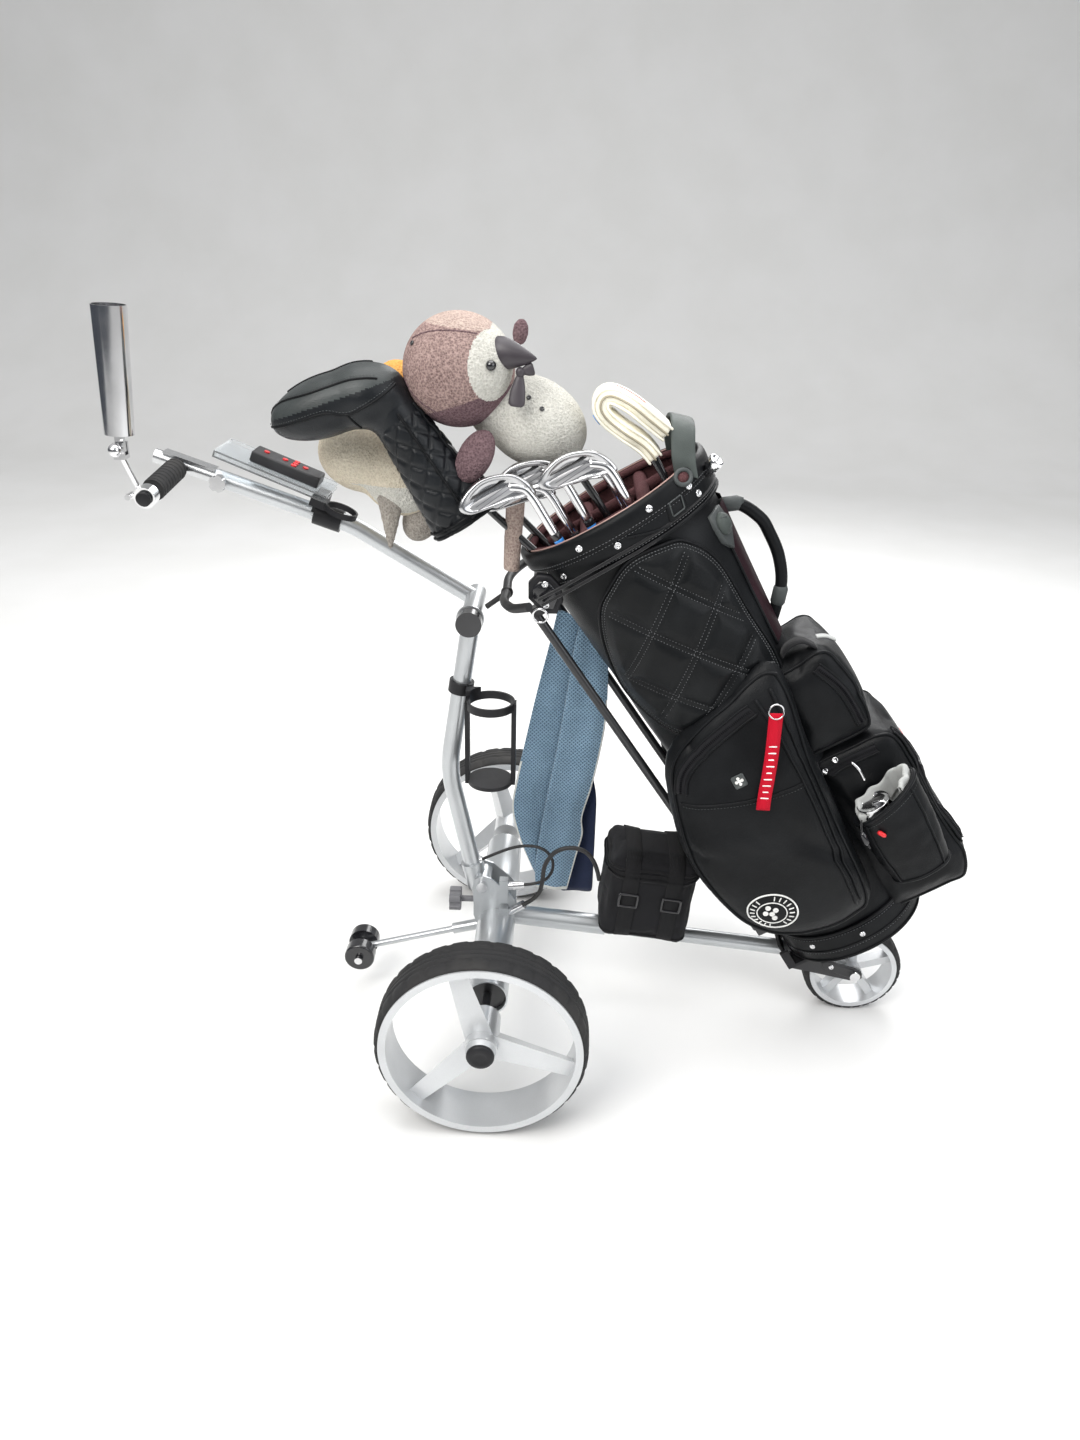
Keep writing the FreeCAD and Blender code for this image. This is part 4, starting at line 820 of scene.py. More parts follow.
def inside_share(u, w, edge):
    """The distance inside an outline, or outside it when negative."""
    nearest, within = 1.0, False
    for k in range(len(edge)):
        (a, b), (c, d) = edge[k], edge[(k + 1) % len(edge)]
        t = max(0, min(1, ((u - a) * (c - a) + (w - b) * (d - b)) / ((c - a) ** 2 + (d - b) ** 2)))
        nearest = min(nearest, math.hypot(u - a - t * (c - a), w - b - t * (d - b)))
        if (b > w) != (d > w) and u < (c - a) * (w - b) / (d - b) + a:
            within = not within
    return nearest if within else -nearest


QUILT_LINES = [((0.063, 0.753), (-0.085, 0.637)), ((0.082, 0.681), (-0.104, 0.533)),
               ((0.085, 0.593), (0.012, 0.550)), ((0.001, 0.766), (0.088, 0.623)),
               ((-0.070, 0.734), (0.067, 0.541)), ((-0.108, 0.643), (-0.018, 0.542))]
THREAD_GAP = 0.0036
BULGE_REACH = 0.020


def quilt_height(u, w):
    """1 in the middle of a diamond, low between the two rows of thread of each line."""
    rise = 1.0
    for (a, b), (c, d) in QUILT_LINES:
        size = math.hypot(c - a, d - b)
        near = abs((u - a) * (d - b) - (w - b) * (c - a)) / size
        if near < THREAD_GAP:
            rise = min(rise, 0.22 - 0.12 * (near / THREAD_GAP) ** 2)
        elif near < BULGE_REACH:
            share = (near - THREAD_GAP) / (BULGE_REACH - THREAD_GAP)
            rise = min(rise, 0.10 + 0.90 * math.sin(math.pi / 2 * share) ** 0.75)
    return rise


def mean_place(line):
    """The mean of a list of pairs."""
    return sum(p[0] for p in line) / len(line), sum(p[1] for p in line) / len(line)


def smooth_outline(edge, steps=8):
    """A smooth line through a closed outline of pairs, and its middle."""
    line = [(p.x, p.y) for p in smooth_line([(u, w, 0) for u, w in edge], steps, True)]
    return line, mean_place(line)


def quilted_panel(side, name):
    """The quilted leather panel on one side, with its threads and its piping."""
    line, (cu, cw) = smooth_outline(QUILT_EDGE, 20)
    rows, rings = (72), []
    for row in range(rows + 1):
        share = max(0.0008, 1 - row / rows)
        ring = []
        for u, w in line:
            u, w = cu + (u - cu) * share, cw + (w - cw) * share
            inset = 1 - share
            out = 0.0008 + 0.0030 * min(1, inset / 0.035)
            out += 0.0055 * quilt_height(u, w) * min(1, max(0, inset - 0.060) / 0.10) ** 0.7
            ring.append(on_shell(u, w, side, out + 0.0003 * ripple((u, w, 0), 60)))
        rings.append(ring)
    panel = loft(name, rings, "leather_quilt", cap=False)
    threads = []
    for (a, b), (c, d) in QUILT_LINES:
        way = Vector((c - a, d - b)).normalized()
        for offset in (-THREAD_GAP, THREAD_GAP):
            points, normals = [], []
            for k in range(-70, 71):
                u = (a + c) / 2 + way.x * k * 0.003 - way.y * offset
                w = (b + d) / 2 + way.y * k * 0.003 + way.x * offset
                if inside_share(u, w, QUILT_EDGE) < 0.010:
                    continue
                place = on_shell(u, w, side, 0.0047)
                points.append(place)
                normals.append((place - in_bag(u * 0.2, 0, w)).normalized())
            threads.append(stitches("thread", points, normals, *QUILT_THREAD))
    for share in (0.975, 0.945):
        ring = [on_shell(cu + (u - cu) * share, cw + (w - cw) * share, side, 0.0044) for u, w in line]
        ring.append(ring[0])
        normals = [(p - in_bag(0, 0, cw)).normalized() for p in ring]
        threads.append(stitches("thread", ring, normals, *QUILT_THREAD))
    welt = [on_shell(cu + (u - cu) * 1.005, cw + (w - cw) * 1.005, side, 0.0026) for u, w in line]
    threads.append(rope("piping", welt, 0.0021, "leather", 8, closed=True))
    finish(join(name, [panel, *threads]))


def pillow(name, edge, low_y, depth_at, side):
    """A pocket: a swollen face over an outline, closed behind on the bag's body."""
    line, (cu, cw) = smooth_outline(edge, 10)
    body_gap, back_rows, front_rows = 0.002, 8, 26

    def skin(u, w):
        half_u, half_y = shell_half(w)
        ratio = abs(u) / (half_u + body_gap)
        return max((half_y + body_gap) * math.sqrt(max(0, 1 - ratio * ratio)), low_y)

    rings = []
    for row in range(back_rows):
        share = 0.15 + 0.85 * row / (back_rows - 1)
        rings.append([in_bag(u, side * skin(u, w), w)
                      for u, w in ((cu + (u - cu) * share, cw + (w - cw) * share) for u, w in line)])
    for row in range(1, front_rows):
        share = math.cos(math.pi / 2 * row / front_rows) ** 0.55
        rise = (1 - share ** 5) ** 0.5
        ring = []
        for u, w in line:
            u, w = cu + (u - cu) * share, cw + (w - cw) * share
            ring.append(in_bag(u, side * (skin(u, w) + (depth_at(u, w) - skin(u, w)) * rise), w))
        rings.append(ring)
    return loft(name, rings, "leather"), line


def zip_pieces(points, normals, width, depth, teeth_lift, reach, welt_lift, radius):
    """A zip along a line on a surface: its tape, its teeth and a welt along each side."""
    made = [ribbon("zip_tape", points, normals, width, depth, "nylon")]
    lifted = [p + n * teeth_lift for p, n in zip(points, normals)]
    made.append(stitches("zip_teeth", lifted, normals, *ZIP_TEETH))
    for shift in (-reach, reach):
        edge = [p + n.cross(step_at(points, k)).normalized() * shift + n * welt_lift
                for k, (p, n) in enumerate(zip(points, normals))]
        made.append(rope("welt", edge, radius, "leather", 8))
    return made


SIDE_EDGE = [(0.094, 0.556), (0.003, 0.546), (-0.092, 0.516), (-0.132, 0.455), (-0.160, 0.342),
             (-0.148, 0.225), (-0.118, 0.164), (-0.076, 0.134), (-0.030, 0.122), (0.020, 0.126),
             (0.056, 0.146), (0.070, 0.265), (0.084, 0.42)]


def side_depth(u, w):
    """How far the side pocket stands out: fullest low down, with broad slack folds."""
    full = 0.149 + 0.010 * math.exp(-((w - 0.33) / 0.15) ** 2) - 0.020 * max(0, (w - 0.42) / 0.14)
    folds = 0.0
    for (a, b), (c, d), size, height in (((-0.10, 0.36), (0.8, -0.6), 0.014, 0.0055),
                                         ((-0.06, 0.33), (0.75, -0.66), 0.011, -0.0045),
                                         ((-0.02, 0.30), (0.7, -0.71), 0.012, 0.0045),
                                         ((0.03, 0.28), (0.4, -0.92), 0.010, -0.004)):
        across = (u - a) * d - (w - b) * c
        along = (u - a) * c + (w - b) * d
        folds += height * math.exp(-(across / size) ** 2 - (along / 0.07) ** 2)
    return full + folds + 0.0015 * ripple((u, w, 0), 22)


def side_pocket(side, name):
    """The big pocket on one side; gives the function that lays points on its face."""
    obj, line = pillow(name + "_pad", SIDE_EDGE, 0.094, side_depth, side)
    puff(obj, 0.006, 3.0, 14, 0.004)
    snap = snapper(obj)
    finish(obj, replaces=["side_pockets"])

    def lay(places, lift, steps=8):
        return line_on(snap, [in_bag(u, side * 0.165, w) for u, w in places], lift, steps)

    trims = []
    seam = ((-0.132, 0.452), (-0.085, 0.430), (-0.034, 0.410), (0.010, 0.399), (0.058, 0.392))
    trims.append(rope("seam", lay(seam, 0.0004)[0], 0.0017, "leather", 8))
    places, normals = lay([(u, w - 0.006) for u, w in seam], 0.0006)
    trims.append(stitches("thread", places, normals, *FINE_THREAD))
    for strip in (((0.050, 0.540), (0.056, 0.460), (0.055, 0.377), (0.046, 0.275), (0.034, 0.158)),
                  ((0.078, 0.545), (0.080, 0.460), (0.074, 0.377), (0.062, 0.275), (0.049, 0.160))):
        trims.append(rope("piping", lay(strip, 0.0010, 12)[0], 0.0026, "leather", 8))
    cu, cw = mean_place(line)
    rim = []
    for u, w in line[::3]:
        u, w = cu + (u - cu) * 0.965, cw + (w - cw) * 0.965
        rim.append(snap(in_bag(u, side * (side_depth(u, w) - 0.010), w), 0.0008)[0])
    trims.append(rope("piping", smooth_line(rim, 4, True), 0.0026, "leather", 8, closed=True))
    places, normals = lay(((-0.122, 0.466), (-0.100, 0.494), (-0.055, 0.512), (0.0, 0.524), (0.036, 0.530)),
                          0.0006, 12)
    trims += zip_pieces(places, normals, 0.019, 0.0015, 0.0020, 0.0088, 0.0008, 0.0020)
    finish(join(name + "_trim", trims))
    return snap


def emblem(snap):
    """A plain round mark of rings, ticks and dots, and a small square badge."""
    made = []
    cu, cw = -0.087, 0.214

    def reach(u, w, lift):
        return snap(in_bag(u, -0.168, w), lift)

    def lay(radius, a):
        return reach(cu + radius * math.cos(a), cw + radius * math.sin(a), 0.0006)[0]

    for radius, size in ((0.0395, 0.0013), (0.0235, 0.0009)):
        made.append(rope("ring", [lay(radius, a) for a in angles(60)], size, "white_print", 6, closed=True))
    for k in range(22):
        if k % 11 in (4, 5):
            continue
        a = 2 * math.pi * (k + 0.5) / 22
        line = [lay(r, a) for r in (0.0280, 0.0310, 0.0345)]
        made.append(rope("tick", line, 0.0010, "white_print", 6))
    for r, a in ((0.0, 0.0), (0.010, 0.5), (0.010, 2.6), (0.010, 4.7), (0.014, 1.57)):
        place, normal = reach(cu + r * math.cos(a), cw + r * math.sin(a), 0.0002)
        made.append(rivet(place, normal, 0.0042, "white_print"))
    finish(join("round_emblem", made))
    place, normal = reach(-0.026, 0.4425, 0.0)
    side = normal.cross(BAG_W).normalized()
    rise = side.cross(normal).normalized()
    square = [(a * 0.0095, b * 0.0095)
              for a, b in ((-1, -0.8), (-0.8, -1), (0.8, -1), (1, -0.8), (1, 0.8), (0.8, 1), (-0.8, 1),
                           (-1, 0.8))]
    rings = [[place + side * a * k + rise * b * k + normal * h for a, b in square]
             for k, h in ((1, -0.002), (1, 0.0014), (0.86, 0.0022), (0.8, 0.0014))]
    dots = [rivet(place + side * dx + rise * dz + normal * 0.0012, normal, 0.0024, "white_print")
            for dx, dz in ((0, 0), (0.0042, 0), (-0.0042, 0), (0, 0.0042), (0, -0.0042))]
    finish(join("square_badge", [loft("plate", rings, "leather_grey"), *dots]))


EDGE_ROWS = 5


def block(name, outline, low_y, high_y, look, rounding):
    """A padded box: an outline in the bag's u and w, given depth in y with rounded edges."""
    line = [Vector((p.x, p.y)) for p in smooth_line([(u, w, 0) for u, w in chamfered(outline)], 3, True)]
    centre = sum(line, Vector((0, 0))) / len(line)
    low_side = [(low_y + rounding * (1 - math.cos(a)), rounding * (1 - math.sin(a)))
                for a in (math.pi / 2 * k / EDGE_ROWS for k in range(EDGE_ROWS + 1))]
    middle = [(low_y + rounding + (high_y - low_y - 2 * rounding) * k / 6, 0) for k in range(1, 6)]
    high_side = [(high_y + low_y - y, inset) for y, inset in reversed(low_side)]
    rings = []
    for y, inset in low_side + middle + high_side:
        inner = [p - (p - centre).normalized() * inset for p in line]
        rings.append([in_bag(p.x, y, p.y) for p in inner])
    return loft(name, rings, look)


def chamfered(outline):
    """The outline with each corner cut, so that a smooth line through it stays in shape."""
    made = []
    for k, corner in enumerate(outline):
        before, after = outline[k - 1], outline[(k + 1) % len(outline)]
        for other in (before, after):
            reach = math.hypot(other[0] - corner[0], other[1] - corner[1])
            cut = min(0.22, 0.014 / reach)
            made.append((corner[0] + (other[0] - corner[0]) * cut,
                         corner[1] + (other[1] - corner[1]) * cut))
    return made


def snapper(obj):
    """Returns a function that lays points on a mesh and gives the place and the normal."""
    bm = bmesh.new()
    bm.from_mesh(obj.data)
    tree = BVHTree.FromBMesh(bm)
    bm.free()

    def snap(point, lift=0.0):
        place, normal, _, _ = tree.find_nearest(Vector(point))
        return place + normal * lift, normal
    return snap


def line_on(snap, points, lift=0.0, steps=8, closed=False):
    """A smooth line laid on a surface, with the surface's normals."""
    places, normals = [], []
    for p in smooth_line(points, steps, closed):
        place, normal = snap(p, lift)
        places.append(place)
        normals.append(normal)
    return places, normals


def seam_on(name, snap, points, look, radius, lift, closed=False):
    """A raised seam along a smooth line on a surface."""
    places, _ = line_on(snap, points, lift, 8, closed)
    return rope(name, places, radius, look, 6, closed=closed)


# ------------------------------------------------------------ front pockets

BALL_EDGE = [(0.060, 0.068), (0.188, 0.068), (0.206, 0.110), (0.200, 0.200), (0.200, 0.295), (0.191, 0.360),
             (0.164, 0.370), (0.060, 0.370)]
COOLER_EDGE = [(0.060, 0.378), (0.171, 0.378), (0.181, 0.452), (0.169, 0.520), (0.150, 0.531),
               (0.060, 0.520)]


def zip_on(snap, places, width=0.017):
    """A zip laid over places in the bag's frame."""
    points, normals = line_on(snap, [in_bag(*place) for place in places], 0.0006, 10)
    return zip_pieces(points, normals, width, 0.0012, 0.0018, width / 2, 0.0006, 0.0017)


def front_pockets():
    """The ball pocket and the cooler pocket, with their piping, zips, stripes and loops."""
    ball = puff(block("ball_pocket_pad", BALL_EDGE, -0.083, 0.091, "leather", 0.020), 0.006, 4.0, 16, 0.005)
    snap = snapper(ball)
    finish(ball, replaces=["front_pockets"])
    cooler = puff(block("cooler_pocket_pad", COOLER_EDGE, -0.087, 0.079, "leather", 0.022), 0.006, 4.0, 16,
                  0.005)
    snap_cooler = snapper(cooler)
    finish(cooler)
    trims = []
    for surface, edge, ys in ((snap, BALL_EDGE, (-0.076, 0.084)),
                              (snap_cooler, COOLER_EDGE, (-0.080, 0.072))):
        cu, cw = mean_place(edge)
        for y in ys:
            ring = [in_bag(cu + (u - cu) * 0.985, y, cw + (w - cw) * 0.975) for u, w in chamfered(edge)]
            trims.append(seam_on("piping", surface, ring, "leather", 0.0026, 0.0007, True))
    trims += zip_on(snap, ((0.196, -0.058, 0.352), (0.206, -0.058, 0.290), (0.208, -0.058, 0.200),
                           (0.204, -0.058, 0.130)))
    trims += zip_on(snap, ((0.080, -0.088, 0.350), (0.120, -0.088, 0.354), (0.160, -0.088, 0.352)), 0.014)
    trims += zip_on(snap_cooler, ((0.140, -0.092, 0.510), (0.158, -0.092, 0.460), (0.160, -0.092, 0.400)),
                    0.014)
    pull = bag_line(((0.120, -0.092, 0.350), (0.124, -0.096, 0.338), (0.124, -0.097, 0.320)))
    trims.append(rope("pull", pull, 0.0024, "chrome", 8))
    for u, w in ((0.080, 0.352), (0.100, 0.362)):
        place, normal = snap(in_bag(u, -0.083, w), 0.0006)
        trims.append(rivet(place, normal, 0.005))
    finish(join("front_pocket_trim", trims))
    marks = []
    for look, low, high in (("white_print", -0.012, 0.012), ("red_key", 0.016, 0.040)):
        for k in range(3):
            line = [in_bag(0.22, low + (high - low) * t, 0.300 - 0.022 * k - 0.012 * t)
                    for t in (0, 0.5, 1)]
            places, normals = line_on(snap, line, 0.0004, 4)
            marks.append(ribbon("stripe", places, normals, 0.010, 0.0008, look))
    finish(join("front_stripes", marks))
    tabs = []
    for width, look, points in ((0.024, "webbing",
                                 ((0.104, -0.060, 0.540), (0.120, -0.060, 0.549), (0.140, -0.060, 0.546),
                                  (0.153, -0.060, 0.528))),
                                  (0.012, "grey_cloth", ((0.160, -0.046, 0.535), (0.172, -0.046, 0.529),
                                                         (0.182, -0.046, 0.517)))):
        line = bag_line(points, 8)
        normals = [AXIS_Y.cross(step_at(line, k)).normalized() for k in range(len(line))]
        tabs.append(ribbon("loop", line, normals, width, 0.0022, look))
    finish(join("cooler_loops", tabs))
    bottle_pocket()


def bottle_pocket():
    """A flared open leather pocket with a can and a folded cloth in it, and a toggle."""
    count, mid_u, mid_y = 56, 0.137, -0.119

    def wall(t, grow=0.0, height=0.0):
        ring = []
        for a in angles(count):
            w = 0.154 + (0.138 + 0.019 * math.cos(a)) * t + height
            belly = 0.004 * math.sin(math.pi * min(1, t))
            half_u, half_y = 0.043 + 0.010 * t + belly + grow, 0.026 + 0.006 * t + belly + grow
            crease = 0.0014 * ripple((math.cos(a), math.sin(a), w * 30), 2.2)
            ring.append(in_bag(mid_u + (half_u + crease) * math.cos(a),
                               mid_y + (half_y + crease) * math.sin(a), w))
        return ring

    rings = [wall(0, -0.012, -0.003), wall(0, -0.003, -0.002)] + [wall(k / 20) for k in range(21)]
    rings += [wall(1, -0.001, 0.0025), wall(1, -0.004, 0.0025), wall(1, -0.005, -0.002), wall(0.7, -0.005),
              wall(0.4, -0.005)]
    parts = [loft("bottle_sleeve", rings, "leather"),
             rope("lip", wall(1, 0.0006, 0.0), 0.0028, "leather", 8, closed=True),
             rope("piping", wall(0.03, 0.0006), 0.0022, "leather", 8, closed=True)]
    for a in (3.9, 5.5):
        j = int(count * a / (2 * math.pi))
        parts.append(rope("seam", [wall(k / 20, 0.0008)[j] for k in range(1, 20)], 0.0016, "leather", 8))
    lip = wall(0.93, 0.0008)
    lip.append(lip[0])
    normals = [(p - in_bag(mid_u, mid_y, 0.285)).normalized() for p in lip]
    parts.append(stitches("thread", lip, normals, *FINE_THREAD))
    finish(join("bottle_pocket", parts))
    profile = [(0.020, 0.205), (0.026, 0.212), (0.026, 0.282), (0.0235, 0.290), (0.0245, 0.2935),
               (0.0235, 0.2945), (0.0222, 0.2905), (0.0205, 0.2880), (0.004, 0.2885)]
    can = turned("can", in_bag(0.120, -0.119, 0), BAG_W, BAG_U, profile, "chrome", 44)
    key_line = bag_line(((0.120, -0.119, 0.2895), (0.128, -0.122, 0.2905), (0.134, -0.124, 0.2895)))
    key = rope("key", key_line, 0.0028, "chrome", 8)
    finish(join("drink_can", [can, key]))
    verts = []
    across, down, sheet_width = 84, 30, 0.089
    for i in range(across + 1):
        a = -1.0 + 5.0 * i / across
        wave = 0.0018 * math.sin(a * 11) + 0.0014 * math.sin(a * 5.3 + 1)
        top = 0.302 + 0.015 * math.cos(a) + 0.004 * math.sin(a * 3.1) + 0.0022 * math.sin(a * 7.7)
        for j in range(down + 1):
            turn = math.pi * max(0.0, min(1.0, (j / down - 0.35) / 0.30))
            fold = 0.0035 * (1 - math.cos(turn))
            if j / down < 0.35:
                w = top - 0.048 * (0.35 - j / down) / 0.35
            elif j / down > 0.65:
                w = top - 0.030 * (j / down - 0.65) / 0.35
            else:
                w = top + 0.0035 * math.sin(turn)
            half_u, half_y = 0.0455 + wave - fold, 0.0270 + wave * 0.6 - fold * 0.6
            verts.append(in_bag(mid_u + half_u * math.cos(a), mid_y + half_y * math.sin(a), w))
    faces = [(i * (down + 1) + j, (i + 1) * (down + 1) + j, (i + 1) * (down + 1) + j + 1,
              i * (down + 1) + j + 1) for i in range(across) for j in range(down)]
    cloth = mesh_object("wiping_cloth", verts, faces, "grey_cloth")
    modify(cloth, "SOLIDIFY", thickness=0.0014, offset=0)
    finish(cloth)
    toggle = rope("toggle", [in_bag(0.086, -0.146, 0.268), in_bag(0.085, -0.148, 0.254)], 0.0048,
                  "gloss_black", 12)
    bead = rope("bead", [in_bag(0.108, -0.151, 0.262), in_bag(0.112, -0.153, 0.256)], 0.0034, "red_key", 10)
    pull_line = bag_line(((0.094, -0.140, 0.286), (0.088, -0.145, 0.276), (0.0845, -0.148, 0.262),
                          (0.086, -0.149, 0.244)))
    pull = rope("pull", pull_line, 0.0013, "knit_black", 6)
    finish(join("pocket_toggle", [toggle, bead, pull]))


# ------------------------------------------------------------ bag fittings

def bag_base_trim():
    """The welted band round the moulded base, its feet and its studs."""
    rings = []
    for w, out in ((0.0405, 0.0005), (0.044, 0.003), (0.060, 0.0038), (0.085, 0.0036), (0.091, 0.0030),
                   (0.0925, 0.0010)):
        rings.append([p + (BAG_U + AXIS_Y) * 0.0006 * ripple(p, 26, 4) for p in ring_round(w, out, 96)])
    parts = [loft("base_band", rings, "leather", cap=False), hoop(0.0935, 0.0018, 0.0028, "leather"),
             hoop(0.0430, 0.0026, 0.0022, "leather"), hoop(0.0640, 0.0040, 0.0014, "leather"),
             hoop_thread(0.0880, 0.0036), hoop_thread(0.0600, 0.0040)]
    finish(join("base_welt", parts))
    feet = []
    for y in (-0.06, 0.06):
        for u in (-0.075, 0.075):
            feet.append(rivet(in_bag(u, y, 0.0405), -BAG_W, 0.006, "black_plastic"))
    for side in (-1, 1):
        for u, w in ((0.088, 0.076), (0.010, 0.076), (0.009, 0.119), (-0.070, 0.076)):
            place = on_shell(u, w, side, 0.0040 if w < 0.1 else 0.001)
            feet.append(rivet(place, place - in_bag(u * 0.3, 0, w), 0.0048))
    finish(join("base_studs", feet))


def bag_handles():
    """The stitched carry handle on the bag's spine and the wide lift strap over its rim."""
    arch = bag_line([(u, 0, w) for u, w in ((0.116, 0.760), (0.150, 0.748), (0.168, 0.715), (0.170, 0.688),
                                            (0.166, 0.650), (0.150, 0.610), (0.114, 0.568))], 8)
    extra = [rope("carry_grip", arch, 0.0088, "leather", 16)]
    for place, way in ((arch[6], arch[7] - arch[5]), (arch[-7], arch[-6] - arch[-8])):
        way = way.normalized()
        extra.append(rope("collar", [place - way * 0.010, place + way * 0.010], 0.0108, "leather_grey", 16))
    outer_side = [p + (p - in_bag(0.11, 0, 0.665)).normalized() * 0.0086 for p in arch[6:-6]]
    normals = [(p - in_bag(0.11, 0, 0.665)).normalized() for p in outer_side]
    extra.append(stitches("thread", outer_side, normals, 0.0048, 0.0034, 0.0012, "thread_grey"))
    for u, w in ((0.124, 0.752), (0.116, 0.585)):
        for y in (-0.016, 0.016):
            extra.append(rivet(in_bag(u, y, w), BAG_U, 0.0045))
    near_half = [(0.110, -0.074, 0.836), (0.117, -0.070, 0.856), (0.128, -0.058, 0.876),
                 (0.136, -0.036, 0.887)]
    far_half = [(u, -y, w) for u, y, w in reversed(near_half)]
    line = bag_line(near_half + [(0.139, 0, 0.890)] + far_half, 8)
    wide = BAG_U * 0.72 - BAG_W * 0.69
    rings = []
    for (way, _, _), p in zip(frame_along(line), line):
        inward = wide.cross(way).normalized()
        rings.append([p + wide * 0.0165 * bent(math.cos(a), 0.5)
                      + inward * 0.0032 * bent(math.sin(a), 0.6)
                      for a in angles(24)])
    extra.append(loft("lift_arch", rings, "rubber_green"))
    finish(join("bag_handle_pieces", extra), replaces=["bag_handles"])


def elastic_pieces():
    """Two stretched cords round the front of the collar, and the plates of the leg hinges."""
    cords = []
    half_u, half_y = 0.1405, 0.1205
    for w in (0.7915, 0.8005):
        path = [in_bag(-0.138, -0.1080, w - 0.002), in_bag(-0.10, -0.1195, w), in_bag(-0.05, -half_y, w)]
        path += [in_bag(half_u * math.cos(a), half_y * math.sin(a), w) for a in
                 (-math.pi / 2 + math.pi * k / 40 for k in range(41))]
        path += [in_bag(-0.05, half_y, w), in_bag(-0.10, 0.1195, w), in_bag(-0.138, 0.1080, w - 0.002)]
        cords.append(rope("shock_cord", path, 0.0023, "knit_black", 10))
    finish(join("shock_cords", cords), replaces=["elastic_strap"])
    plate = []
    for side in (-1, 1):
        outline = [(-0.152, 0.804), (-0.141, 0.822), (-0.124, 0.826), (-0.110, 0.815), (-0.106, 0.795),
                   (-0.113, 0.778), (-0.130, 0.765), (-0.146, 0.775)]
        for high, share, look in ((0.0965, 1.0, "black_plastic"), (0.1000, 0.72, "gloss_black")):
            rings = [[in_bag(-0.130 + (u + 0.130) * k * share, side * y, 0.797 + (w - 0.797) * k * share)
                      for u, w in outline] for y, k in ((high - 0.013, 1), (high - 0.001, 1), (high, 0.94),
                                                        (high + 0.0008, 0.80))]
            plate.append(loft("hinge_plate", rings, look))
        for u, w in ((-0.121, 0.811), (-0.135, 0.785)):
            plate.append(rivet(in_bag(u, side * 0.1008, w), AXIS_Y * side, 0.0050))
    finish(join("leg_hinge_plates", plate))
    ring = [in_bag(-0.150 + 0.010 * math.cos(a), -0.101 - 0.002 * math.cos(a), 0.776 + 0.010 * math.sin(a))
            for a in angles(32)]
    finish(rope("leg_ring", ring, 0.0018, "chrome", 10, closed=True))


def spine_badge():
    """A plain shield beside the spine of the bag, a wine-red spine strip, and the chrome stub."""
    middle = in_bag(0.1185, -0.056, 0.752)
    normal = (middle - in_bag(0.02, 0, 0.752)).normalized()
    side = BAG_W.cross(normal).normalized()

    def lay(a, b, h):
        return middle + side * a + BAG_W * b + normal * h

    outline = [(0, -0.040), (0.016, -0.022), (0.020, 0.004), (0.017, 0.020), (-0.017, 0.020),
               (-0.020, 0.004), (-0.016, -0.022)]
    rings = [[lay(a * k, b * k, h) for a, b in outline]
             for k, h in ((1.0, -0.012), (1.0, 0.0015), (0.92, 0.0030), (0.5, 0.0032))]
    parts = [loft("shield", rings, "leather_grey")]
    dome = [[lay(0.0155 * r * math.cos(a), 0.0165 * r * math.sin(a) - 0.002, h) for a in angles(32)]
            for r, h in ((1, 0.002), (0.97, 0.0060), (0.85, 0.0090), (0.6, 0.0115), (0.3, 0.0128),
                         (0.05, 0.0130))]
    parts.append(loft("dome", dome, "rubber_green"))
    for b, tilt in ((0.006, -0.003), (-0.004, 0.002), (-0.010, 0.002)):
        bar = [lay(0.0075 * t, b + tilt * t, 0.0126 - 0.0035 * abs(t)) for t in (-1, -0.5, 0, 0.5, 1)]
        parts.append(rope("bar", bar, 0.0010, "leather_grey", 6))
    finish(join("shield_badge", parts))

    def on_spine(a, out, k):
        w = 0.770 - 0.215 * k / 29
        half_u, half_y = shell_half(w)
        return in_bag((half_u + out) * math.cos(a), (half_y + out) * math.sin(a), w)

    section = ((-0.50, -0.001), (-0.47, 0.0022), (-0.30, 0.0026), (-0.10, 0.0028), (0.10, 0.0028),
               (0.30, 0.0026), (0.47, 0.0022), (0.50, -0.001))
    rings = [[on_spine(a, out, k) for a, out in section] for k in range(30)]
    strip = loft("spine_strip", rings, "leather_wine", closed=False, cap=False)
    edges = [rope("piping", [on_spine(a, 0.002, k) for k in range(30)], 0.0022, "leather", 8)
             for a in (-0.49, 0.49)]
    finish(join("spine_strip_set", [strip, *edges]))
    way = (BAG_U * 0.8 + BAG_W * 0.4 - AXIS_Y * 0.3).normalized()
    profile = [(0.008, -0.006), (0.0085, 0.004), (0.0105, 0.006), (0.0105, 0.018), (0.0095, 0.020),
               (0.0065, 0.020), (0.006, 0.012), (0.001, 0.012)]
    stub = turned("rim_stub", in_bag(0.138, -0.050, 0.822), way, way.orthogonal().normalized(), profile,
                  "chrome", 28)
    finish(stub)


# ------------------------------------------------------------ clubs and covers

# Of each iron: u, y, the height of its hosel and its turn in degrees.
IRONS = [(-0.076, -0.088, 0.887, 18), (-0.031, -0.070, 0.877, 4), (-0.059, -0.052, 0.866, 0),
         (0.030, -0.086, 0.858, 6), (0.018, -0.038, 0.848, 0)]
# The outline of an iron's head, from the hosel: towards the toe, and up.
BLADE = [(0.0075, 0.034), (0.005, 0.052), (-0.006, 0.070), (-0.028, 0.083), (-0.050, 0.088),
         (-0.070, 0.085), (-0.085, 0.078), (-0.0905, 0.069), (-0.082, 0.058), (-0.062, 0.052),
         (-0.042, 0.047), (-0.022, 0.042), (-0.008, 0.036)]
